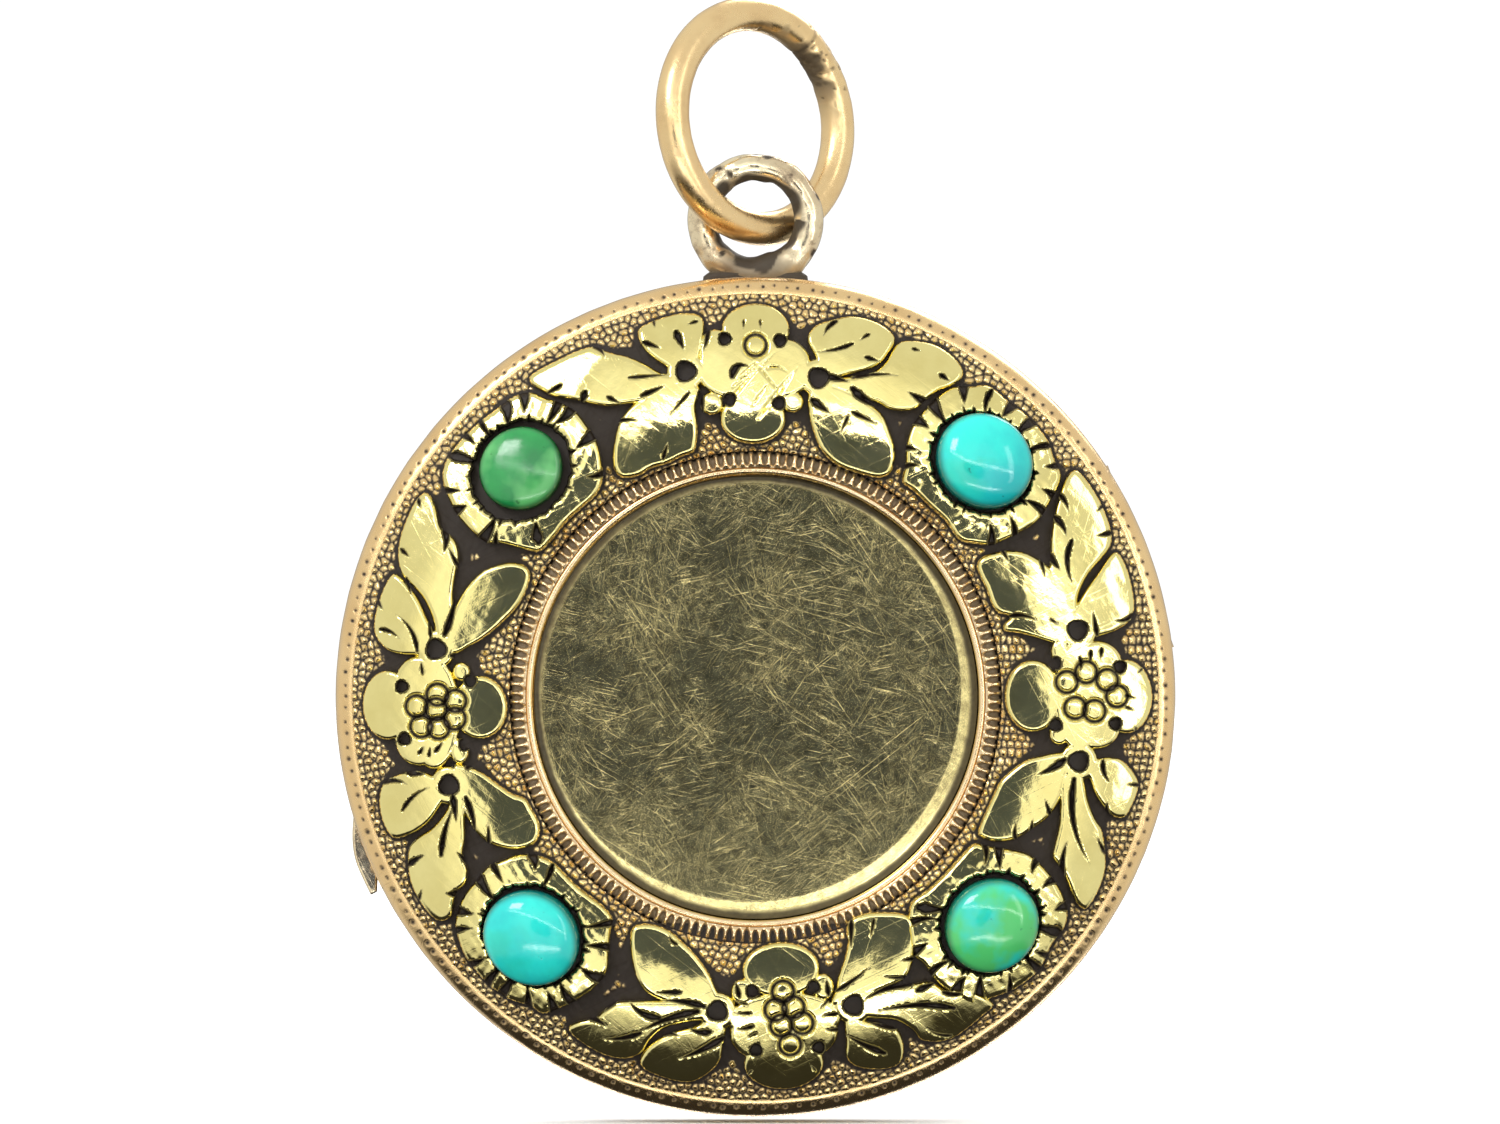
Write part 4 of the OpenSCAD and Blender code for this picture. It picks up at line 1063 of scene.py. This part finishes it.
def ground_distance(flat):
    r = np.linalg.norm(flat, axis=1)
    ring = np.maximum(GROUND_IN_R - 0.05 - r, r - GROUND_OUT_R - 0.06)
    out = ring.copy()
    near = ring < 0.2
    covered = -ornament_distance(flat[near]) - 0.12
    out[near] = np.maximum(ring[near], covered)
    return out


def make_ground():
    """The punched ground between the ornaments, pebble by pebble, dark in the gaps, with painted shade
    along the ornaments.
    """
    half = GROUND_OUT_R + 0.1
    flat, triangles = cut_to_shape(ground_distance, (-half, -half, half, half), DETAIL * 1.12)
    r = np.linalg.norm(flat, axis=1)
    away = ornament_distance(flat)
    nearest, second, number = pebble_cells(flat, 5)
    gap = second - nearest
    bump = smooth_step(0.0, 0.2, gap)
    uneven = (number >> 4 & 255) / 255
    plain = ripple(flat, 2.6, 21)
    # close to the ornaments the ground is flat and takes painted shade, more so in the narrow places
    # between them
    narrow = smooth_step(8.3, 8.9, r) * smooth_step(11.75, 11.2, r)
    # pebble by pebble, so that its border is ragged
    reach = away + 0.3 * (uneven - 0.5) * narrow
    open_ground = smooth_step(0.05 + 0.32 * narrow, 0.15 + 0.4 * narrow + 0.1 * np.clip(plain, 0, 1), reach)
    band = np.clip(smooth_step(11.95, 12.15, r) + smooth_step(8.05, 7.85, r), 0, 1)
    open_ground = np.maximum(open_ground, band * smooth_step(0.03, 0.12, away))
    height = dome_h(r) + (0.08 + 0.04 * uneven) * bump * open_ground * (0.75 + 0.25 * uneven)
    height += 0.006 * ripple(flat, 0.3, 4)
    edge = np.minimum(r - (GROUND_IN_R - 0.05), GROUND_OUT_R + 0.06 - r)
    height -= 0.06 * smooth_step(0.06, 0.0, edge)
    # dark in the gaps between pebbles, and painted shade where the ground is not open, next to the
    # ornaments
    dark = 1 - smooth_step(0.035, 0.10, gap) * smooth_step(0.25, 0.8, open_ground)
    vertices, faces, ring = close_below(world(flat, height), triangles, world(flat, dome_h(r) - 0.2))
    dark = np.concatenate((dark, np.ones(len(ring))))
    make_piece("punched_ground", vertices, faces, "cover", "front_cover",
               GROUND_GOLD, dark)


# ---- Rim, shell, milgrain and plate ----

def arc(center, half_r, half_h, start, end, count):
    angles = np.radians(np.linspace(start, end, count))
    return [(center[0] + half_r * cos(a), center[1] + half_h * sin(a)) for a in angles]


RIM_DOTS = 206
RIM_DOT_R = 12.7


def make_rim():
    """The rolled rim with its ring of fine punched dots."""
    rise = float(dome_h(GROUND_OUT_R)) - RIM_MID_H
    top = arc((CASE_R - RIM_ARC_W, RIM_MID_H), RIM_ARC_W, rise, 90, 0, 26)
    low = arc((CASE_R - FRONT_BEAD_W, RIM_MID_H), FRONT_BEAD_W, RIM_MID_H - FRONT_H, 0, -90, 12)
    inner = [(11.6, FRONT_H), (11.6, 3.2), (12.3, 3.6)]
    profile = low[::-1] + top[::-1][1:] + inner[::-1]
    segments = 1500
    rng = np.random.default_rng(3)
    angle = (np.arange(RIM_DOTS) + rng.uniform(-0.16, 0.16, RIM_DOTS)) * 2 * pi / RIM_DOTS
    place = RIM_DOT_R + rng.normal(0, 0.018, RIM_DOTS)
    size = rng.uniform(0.052, 0.085, RIM_DOTS)
    dark = {}

    def punch(vertices):
        r, turn = np.hypot(vertices[:, 0], vertices[:, 1]), np.arctan2(vertices[:, 1], vertices[:, 0])
        k = np.round(turn % (2 * pi) * RIM_DOTS / (2 * pi)).astype(int)
        strength = np.zeros(len(vertices))
        for shift in (-1, 0, 1):
            i = (k + shift) % RIM_DOTS
            away = np.hypot(vertices[:, 0] - place[i] * np.cos(angle[i]),
                            vertices[:, 1] - place[i] * np.sin(angle[i]))
            strength = np.maximum(strength, smooth_step(1.25, 0.45, away / size[i]))
        strength *= (vertices[:, 2] > RIM_MID_H + 0.15)
        wear = 0.006 * ripple(vertices[:, :2], 2.2, 31)
        scale = (r - 0.01 * strength - np.abs(wear) * (r > 12)) / np.maximum(r, 1e-6)
        dark["rim"] = strength
        return np.column_stack((vertices[:, :2] * scale[:, None], vertices[:, 2] - 0.03 * strength))

    vertices, faces = revolve(profile, segments, punch)
    make_piece("front_rim", vertices, faces, "cover", "front_cover", RIM_GOLD,
               dark["rim"], sharp=50)


def make_front_shell():
    radii = np.linspace(GROUND_OUT_R - 0.1, GROUND_IN_R, 24)
    outside = [(r, float(dome_h(r)) - 0.14) for r in radii]
    radii = np.linspace(7.8, CARD_REST_R, 12)
    inside = [(r, float(dome_h(r)) - SHELL_T) for r in radii]
    profile = ([(12.2, FRONT_H), (12.6, 2.8), (12.7, 3.3)] + outside
               + [(GROUND_IN_R, SHOULDER_H), (PLATE_R, SHOULDER_H), (PLATE_R, PLATE_BOTTOM_H),
                  (LEDGE_R, PLATE_BOTTOM_H), (LEDGE_R, PLATE_BOTTOM_H - LEDGE_T),
                  (7.4, PLATE_BOTTOM_H - LEDGE_T)]
               + inside + [(CARD_REST_R, FRAME_TOP_H), (WALL_R, FRAME_TOP_H), (WALL_R, FRONT_H + 0.05),
                           (WALL_R + 0.05, FRONT_H)])
    vertices, faces = revolve(profile, 384)
    make_piece("front_shell", vertices, faces, "cover", "front_cover", CASE_GOLD)


MILGRAIN_SLOTS = 172
MILGRAIN_SLOT_R = 7.4
MILGRAIN_SLOT_L = 0.24      # half of a slot's length
MILGRAIN_SLOT_W = 0.092     # half of its width
MILGRAIN_SLOT_DEPTH = 0.2
MILGRAIN_OUT_R = 7.6
BEAD_PLACE = (7.0, 4.75)    # middle of the bead's section
BEAD_WIRE_R = 0.11
BAND_PLACE = (7.3, 4.74)
BAND_HALF_W = 0.29
BAND_RISE = 0.24


def make_milgrain():
    """A smooth bead along the inner side, and outside it a band with a ring of close pressed slots."""
    bead = arc(BEAD_PLACE, BEAD_WIRE_R, BEAD_WIRE_R, 180, 20, 11)
    band_r, band_h = BAND_PLACE
    top = [(r, band_h + BAND_RISE * sqrt(max(0.0, 1 - ((r - band_r) / BAND_HALF_W) ** 2)))
           for r in np.linspace(7.1, 7.56, 15)]
    bottom_h = SHOULDER_H - 0.1
    outside = [(MILGRAIN_OUT_R, band_h - 0.1), (MILGRAIN_OUT_R, bottom_h)]
    profile = ([(PLATE_R, bottom_h)] + bead + top + outside)[::-1]
    segments = MILGRAIN_SLOTS * 12
    rng = np.random.default_rng(8)
    nudge = rng.uniform(-0.12, 0.12, MILGRAIN_SLOTS)
    length = rng.uniform(0.85, 1.1, MILGRAIN_SLOTS)
    dark = {}

    def press(vertices):
        r, turn = np.hypot(vertices[:, 0], vertices[:, 1]), np.arctan2(vertices[:, 1], vertices[:, 0])
        places = turn % (2 * pi) * MILGRAIN_SLOTS / (2 * pi)
        k = np.round(places).astype(int) % MILGRAIN_SLOTS
        off = (places - np.round(places) + nudge[k] * 0.4) * 2 * pi * r / MILGRAIN_SLOTS
        reach = np.hypot(off / MILGRAIN_SLOT_W, (r - MILGRAIN_SLOT_R) / (MILGRAIN_SLOT_L * length[k]))
        above = vertices[:, 2] > SHOULDER_H
        slot = smooth_step(1.25, 0.7, reach) * above
        groove = smooth_step(0.04, 0.01, np.abs(r - 7.12)) * above
        edge = smooth_step(7.5, 7.57, r) * above
        inside = smooth_step(1.1, 0.8, reach) * above
        dark["milgrain"] = np.clip(0.8 * inside + 0.12 * groove + 0.8 * edge, 0, 1)
        height = vertices[:, 2] - MILGRAIN_SLOT_DEPTH * slot - 0.03 * groove
        return np.column_stack((vertices[:, :2], height))

    vertices, faces = revolve(profile, segments, press)
    make_piece("milgrain_ring", vertices, faces, "cover", "milgrain_ring",
               MILGRAIN_GOLD, dark["milgrain"], sharp=60)


def make_plate():
    """A flat plate with an upturned edge, which is wider at the lower right than at the upper left."""
    flat = np.linspace(0, 1, 60)
    edge = np.linspace(1, 2, 24)[1:]
    # the top's radii here are shares of the flat part up to 1, and of the upturned edge from 1 to 2
    top = [(share, PLATE_H) for share in (*flat, *edge)]
    rim = [(PLATE_R, PLATE_H), (PLATE_R - 0.02, PLATE_H + 0.02)]
    profile = [(0, PLATE_BOTTOM_H), (PLATE_R, PLATE_BOTTOM_H)] + rim + top[::-1]
    shade = {}

    def form(vertices):
        share, turn = np.hypot(*vertices[:, :2].T), np.arctan2(vertices[:, 1], vertices[:, 0])
        on_top = (share <= 2 + 1e-6) & (vertices[:, 2] == PLATE_H)
        flat_r = PLATE_FLAT_R - PLATE_SHIFT * np.cos(turn + radians(45))
        width = PLATE_EDGE_R - flat_r
        along = np.clip(share - 1, 0, 1)
        r = np.where(share <= 1, share * flat_r, flat_r + width * along)
        # the edge slopes gently at first and then bends up
        h = PLATE_H + width * (0.16 * along + 1.5 * np.maximum(along - 0.5, 0) ** 2)
        r, h = np.where(on_top, r, share), np.where(on_top, h, vertices[:, 2])
        flat = np.column_stack((r * np.cos(turn), r * np.sin(turn)))
        level = on_top * np.clip(1.6 - share, 0, 1)
        h = h + level * (0.0035 * ripple(flat, 5.0, 40) + 0.0008 * ripple(flat, 1.3, 41))
        # painted shade in the corner round the plate, from here outward
        shade["plate"] = on_top * smooth_step(PLATE_SHADE_R, 6.72, r + 0.01 * ripple(flat, 0.8, 42)) * 0.9
        return np.column_stack((flat, h))

    vertices, faces = revolve(profile, 480, form)
    make_piece("centre_plate", vertices, faces, "cover", "centre_plate",
               POLISHED_GOLD, shade["plate"], sharp=50)


# ---- Loop, foot, ring and lip ----

def ring_frames(count):
    angles = np.arange(count) * 2 * pi / count
    return angles, np.column_stack((np.cos(angles), np.zeros(count), np.sin(angles)))


def make_loop():
    """Hand-forged loop: its wire swells and flattens, and it spreads where it meets the foot."""
    count, sides = 160, 40
    angles, outward = ring_frames(count)
    turn = np.arange(sides) * 2 * pi / sides
    places = np.column_stack((np.repeat(angles, sides), np.tile(turn, count)))
    rough = (0.05 * ripple(places * (LOOP_R, LOOP_WIRE_R), 1.3, 51)
             + 0.014 * ripple(places * (LOOP_R, LOOP_WIRE_R), 0.6, 52)).reshape(count, sides)
    swell = 0.95 + 0.07 * np.cos(angles * 2 + 0.6) + 0.04 * np.cos(angles * 5)
    spread = smooth_step(0.55, 0.95, -np.sin(angles))
    r = LOOP_WIRE_R * (swell[:, None] * (1 + 0.3 * spread[:, None]) + rough)
    r = np.minimum(r, LOOP_WIRE_R + 0.16 * spread[:, None])
    vertices, faces = wire_loop(outward, LOOP_R, r, turn)
    vertices = vertices + np.array([0, -LOOP_H, LOOP_Z])
    worn = ripple(places * (LOOP_R, LOOP_WIRE_R), 1.1, 54).reshape(count, sides)
    inside = smooth_step(-0.25, -0.7, np.cos(turn)[None, :] + 0.3 * worn) + 0.7 * spread[:, None]
    blotch = smooth_step(1.0, 1.6, ripple(places * (LOOP_R, LOOP_WIRE_R), 0.8, 53)).reshape(count, sides)
    dark = np.clip(inside + blotch, 0, 0.95).ravel()
    make_piece("pendant_loop", vertices * MM, faces, "case_back", "pendant_loop",
               PALE_GOLD, dark, sharp=70)


FOOT_T = 1.0
FOOT_TOP_T = 0.8
# heights of the foot's sections, and half of their widths
FOOT_SECTIONS = ((12.55, 1.62), (12.9, 1.64), (13.05, 1.62), (13.15, 1.5), (13.24, 1.3), (13.3, 0.9))


def make_foot():
    """A block of solder under the loop, rounded on all sides and a little uneven."""
    sides = 48
    turn = np.arange(sides) * 2 * pi / sides
    vertices = []
    square = (np.abs(np.cos(turn)) ** 4 + np.abs(np.sin(turn)) ** 4) ** -0.25
    for z, half_w in FOOT_SECTIONS:
        half_t = (FOOT_T if z < 13.2 else FOOT_TOP_T) / 2
        x = half_w * np.cos(turn) * square
        y = half_t * np.sin(turn) * square
        bump = 0.015 * ripple(np.column_stack((x, y + z * 3)), 0.8, 60)
        vertices.extend(zip(x, y - LOOP_H + bump, np.full(sides, z) + bump))
    faces = tube_faces(len(FOOT_SECTIONS), sides, closed=False)
    vertices = np.array(vertices)
    dark = smooth_step(13.32, 13.15, vertices[:, 2]) * 0.35 + 0.6
    make_piece("pendant_foot", vertices * MM, faces, "case_back", "pendant_foot",
               PALE_GOLD, dark, sharp=60)


def ring_place(points):
    """From the ring's own plane to its place in the loop."""
    turn, lean = radians(RING_TURN), radians(-RING_LEAN)
    x, y, z = points[:, 0], points[:, 1], points[:, 2] + RING_R
    x, y = x * cos(turn) - y * sin(turn), x * sin(turn) + y * cos(turn)
    y, z = y * cos(lean) - z * sin(lean), y * sin(lean) + z * cos(lean)
    return np.column_stack((x, y - LOOP_H, z + RING_PIVOT_Z))


RING_JOINT = 0.95       # angle of the soldered joint round the ring, in radians from its right side
RING_PITS = 70


def make_ring():
    """Drawn wire bent round, with a lumpy, pitted solder joint."""
    count, sides = 320, 40
    angles, outward = ring_frames(count)
    turn = np.arange(sides) * 2 * pi / sides
    places = np.column_stack((np.repeat(angles * RING_R, sides), np.tile(turn * RING_WIRE_R, count)))
    rough = (0.004 * ripple(places, 1.8, 71) + 0.0016 * ripple(places, 0.5, 72)).reshape(count, sides)
    joint = (angles - RING_JOINT + pi) % (2 * pi) - pi
    seam = np.exp(-(joint / 0.016) ** 2) * 0.035
    rng = np.random.default_rng(77)
    pits = np.zeros((count, sides))
    for _ in range(RING_PITS):
        at = RING_JOINT + rng.normal(-0.18, 0.22)
        side = rng.uniform(0, 2 * pi)
        size = rng.uniform(0.04, 0.12)
        far = np.hypot((angles[:, None] - at) * RING_R,
                       ((turn[None, :] - side + pi) % (2 * pi) - pi) * RING_WIRE_R)
        pits = np.maximum(pits, smooth_step(size, size * 0.4, far))
    at_joint = np.exp(-((joint + 0.28) / 0.3) ** 2)[:, None]
    lumps = ripple(places, 0.7, 73).reshape(count, sides)
    r = RING_WIRE_R * 0.992 - np.abs(rough) - seam[:, None] - 0.045 * pits
    r = r - at_joint * 0.03 * np.clip(lumps + 0.5, 0, 1)
    vertices, faces = wire_loop(outward, RING_R, r, turn)
    inner = smooth_step(-0.45, -0.8, np.cos(turn) + 0.25 * lumps)
    inner = inner * np.exp(-((joint + 0.2) / 0.55) ** 2)[:, None]
    dark = np.clip(pits * 0.7 + seam[:, None] * 18 + inner, 0, 0.9).ravel()
    make_piece("jump_ring", ring_place(vertices) * MM, faces, "ring", "jump_ring",
               WIRE_GOLD, dark, sharp=70)


LIP_H = 2.42
LIP_T = 0.22
LIP_FROM = 196.5        # degrees round the case
LIP_TO = 207.3
LIP_FREE_FROM = 203     # from here on its inner edge leaves the case
LIP_REACH = 0.42


def make_lip():
    """A thin crescent along the case, with a free tip for the nail."""
    degrees = np.linspace(LIP_FROM, LIP_TO, 16)
    turns = np.radians(degrees)
    outer = CASE_R + LIP_REACH * np.sin(np.minimum(1, (degrees - LIP_FROM) / 7) * pi / 2)
    free = np.clip((degrees - LIP_FREE_FROM) / 4.5, 0, 1)
    inner = CASE_R - 0.35 + 0.58 * free
    outer = np.maximum(outer, inner + 0.06)
    ring = np.concatenate((np.column_stack((outer * np.cos(turns), outer * np.sin(turns))),
                           np.column_stack((inner * np.cos(turns), inner * np.sin(turns)))[::-1]))

    def distance(points):
        return loop_distance(points, ring)

    low, high = ring.min(axis=0) - 0.05, ring.max(axis=0) + 0.05
    flat, triangles = cut_to_shape(distance, (*low, *high), 0.03)
    soft = round_edge(-distance(flat), 0.07)
    top = LIP_H + LIP_T * (0.6 + 0.4 * soft) + 0.004 * ripple(flat, 0.5, 81)
    vertices, faces, edge = close_below(world(flat, top), triangles, world(flat, LIP_H))
    dark = np.concatenate((0.25 * (1 - soft), np.full(len(edge), 0.3)))
    make_piece("thumb_lip", vertices, faces, "cover", "thumb_lip", PALE_GOLD, dark,
               sharp=50)


# ---- CAD nodes that stay, with their finishes ----

KEPT = {
    "back_cover": CASE_GOLD, "hinge_knuckles_back": ROSE_GOLD, "hinge_knuckle_front": ROSE_GOLD,
    "hinge_pin": PALE_GOLD, "back_bezel": CASE_GOLD, "front_bezel": CASE_GOLD,
    "back_glass": GLASS, "front_glass": GLASS, "back_card": CARD, "front_card": CARD,
}


def finish_kept_nodes():
    for name, material in KEPT.items():
        for slot in frame["nodes"][name].material_slots:
            slot.material = material


# ---- Studio ----

def band(tree, value, middle, half):
    """1 where the value is within half of the middle, and 0 outside one and a half times that."""
    off = add(tree, "ShaderNodeMath", {0: combine(tree, "SUBTRACT", value, middle)}, operation="ABSOLUTE")
    return remap(tree, off.outputs[0], half * 1.5, half)


# brightness of the light tent by the angle from straight in front, in degrees
TENT = ((0.0, 0.09), (10.5, 0.10), (12.5, 1.2), (26.0, 1.2), (40.0, 0.80), (75.0, 0.8),
        (110.0, 0.82), (150.0, 0.65), (165.0, 0.25), (180.0, 0.18))
STRIP = 8.0             # brightness of the lamps in it


def studio_world():
    """A light tent: bright all round, dark where the camera looks in and below the front."""
    studio = bpy.data.worlds.new("studio")
    bpy.context.scene.world = studio
    studio.use_nodes = True
    tree = studio.node_tree
    tree.nodes.clear()
    way = add(tree, "ShaderNodeTexCoord").outputs["Generated"]
    parts = add(tree, "ShaderNodeSeparateXYZ", {"Vector": way})
    facing = combine(tree, "MULTIPLY", parts.outputs["Y"], -1.0)
    angle = add(tree, "ShaderNodeMath", {0: facing}, operation="ARCCOSINE").outputs[0]
    ramp = add(tree, "ShaderNodeValToRGB", {"Fac": combine(tree, "DIVIDE", angle, pi)})
    ramp.color_ramp.elements[0].position = 0.0
    ramp.color_ramp.elements[1].position = 1.0
    for place, _ in TENT[1:-1]:
        ramp.color_ramp.elements.new(place / 180)
    for element, (place, value) in zip(ramp.color_ramp.elements, TENT):
        element.position = place / 180
        red, blue = (0.85, 1.35) if place < 11 else (1, 0.96)
        element.color = (value * red, value, value * blue, 1)
    below = remap(tree, parts.outputs["Z"], -0.50, -0.62)
    tent = blend_colors(tree, below, ramp.outputs["Color"], rgba(0.035, 0.033, 0.03))
    in_front = remap(tree, facing, 0.6, 0.7)
    slanted = combine(tree, "ADD", parts.outputs["Z"], combine(tree, "MULTIPLY", parts.outputs["X"], 0.3))
    high = combine(tree, "MULTIPLY", band(tree, slanted, 0.205, 0.014), in_front)
    low = combine(tree, "MULTIPLY", band(tree, parts.outputs["Z"], -0.43, 0.02),
                  band(tree, parts.outputs["X"], 0.1, 0.3))
    tent = blend_colors(tree, combine(tree, "MAXIMUM", high, low), tent,
                        rgba(STRIP, STRIP, STRIP))
    # matt surfaces get more light from the left, and little from below
    from_left = remap(tree, parts.outputs["X"], 1.0, -1.0, 0.95, 1.95)
    down = remap(tree, parts.outputs["Z"], -0.05, -0.3)
    soft = blend_colors(tree, down, from_left, rgba(0.45, 0.45, 0.45))
    ray = add(tree, "ShaderNodeLightPath").outputs
    color = blend_colors(tree, ray["Is Diffuse Ray"], rgba(1.06, 1.06, 1.06), soft)
    color = blend_colors(tree, ray["Is Glossy Ray"], color, tent)
    light = add(tree, "ShaderNodeBackground", {"Color": color, "Strength": 1.0})
    out = add(tree, "ShaderNodeOutputWorld")
    tree.links.new(light.outputs[0], out.inputs["Surface"])


LIGHT_AIM = Vector((0, 0, 0.004))


def soft_light(name, place, size, power, height=None):
    data = bpy.data.lights.new(name, "AREA")
    data.energy = power
    data.size = size
    if height:
        data.shape = "RECTANGLE"
        data.size_y = height
    light = bpy.data.objects.new(name, data)
    light.location = place
    light.rotation_euler = (LIGHT_AIM - Vector(place)).to_track_quat("-Z", "Y").to_euler()
    bpy.context.collection.objects.link(light)


FLOOR_GAP = 0.0002
FLOOR_HALF = 1.2


def make_floor():
    """A plain pale floor, left out of the metal's reflections."""
    mesh = bpy.data.meshes.new("floor")
    low = cad_low.z - FLOOR_GAP
    half = FLOOR_HALF
    mesh.from_pydata([(-half, -half, low), (half, -half, low), (half, half, low), (-half, half, low)], [],
                     [(0, 1, 2, 3)])
    floor = bpy.data.objects.new("floor", mesh)
    bpy.context.collection.objects.link(floor)
    material = bpy.data.materials.new("floor")
    material.use_nodes = True
    shader = material.node_tree.nodes["Principled BSDF"]
    shader.inputs["Base Color"].default_value = rgba(0.96, 0.96, 0.96)
    shader.inputs["Roughness"].default_value = 0.9
    mesh.materials.append(material)
    floor.visible_glossy = False
    floor.visible_diffuse = False


CAMERA_AIM = Vector((-0.00017, -0.004, 0.00417))
CAMERA_FAR = 0.42
FRAME_WIDTH = 0.04635   # what the picture's width shows at the aim
SENSOR = 36             # mm


def make_camera():
    """Looks straight at the face, as in the photo."""
    data = bpy.data.cameras.new("camera")
    camera = bpy.data.objects.new("camera", data)
    bpy.context.collection.objects.link(camera)
    bpy.context.scene.camera = camera
    data.sensor_width = SENSOR
    data.lens = SENSOR * CAMERA_FAR / FRAME_WIDTH
    data.clip_start = 0.01
    data.clip_end = 10
    camera.location = CAMERA_AIM + Vector((0, -CAMERA_FAR, 0))
    camera.rotation_euler = (pi / 2, 0, 0)


def build():
    for spray in SPRAYS:
        make_spray(spray)
    for collet in COLLETS:
        make_collet(collet)
    make_stone("stone_upper_right", 46, 1.55, 1.42, 1.2, TURQUOISE, 0.02)
    make_stone("stone_upper_left", 136, 1.32, 1.27, 0.72, GREEN_STONE, 0.05)
    make_stone("stone_lower_left", 227, 1.54, 1.42, 1.2, TURQUOISE, 0.0)
    make_stone("stone_lower_right", 316, 1.5, 1.4, 1.15, MIXED_TURQUOISE, 0.0)
    make_ground()
    make_rim()
    make_front_shell()
    make_milgrain()
    make_plate()
    make_loop()
    make_foot()
    make_ring()
    make_lip()
    finish_kept_nodes()


make_camera()
studio_world()
soft_light("key", (-0.20, -0.28, 0.24), 0.12, 0.45)
soft_light("fill", (0.26, -0.24, 0.06), 0.05, 0.12, 0.3)
soft_light("back", (0.15, 0.35, 0.3), 0.25, 0.8)
make_floor()
build()
bpy.context.scene.view_settings.view_transform = "Standard"
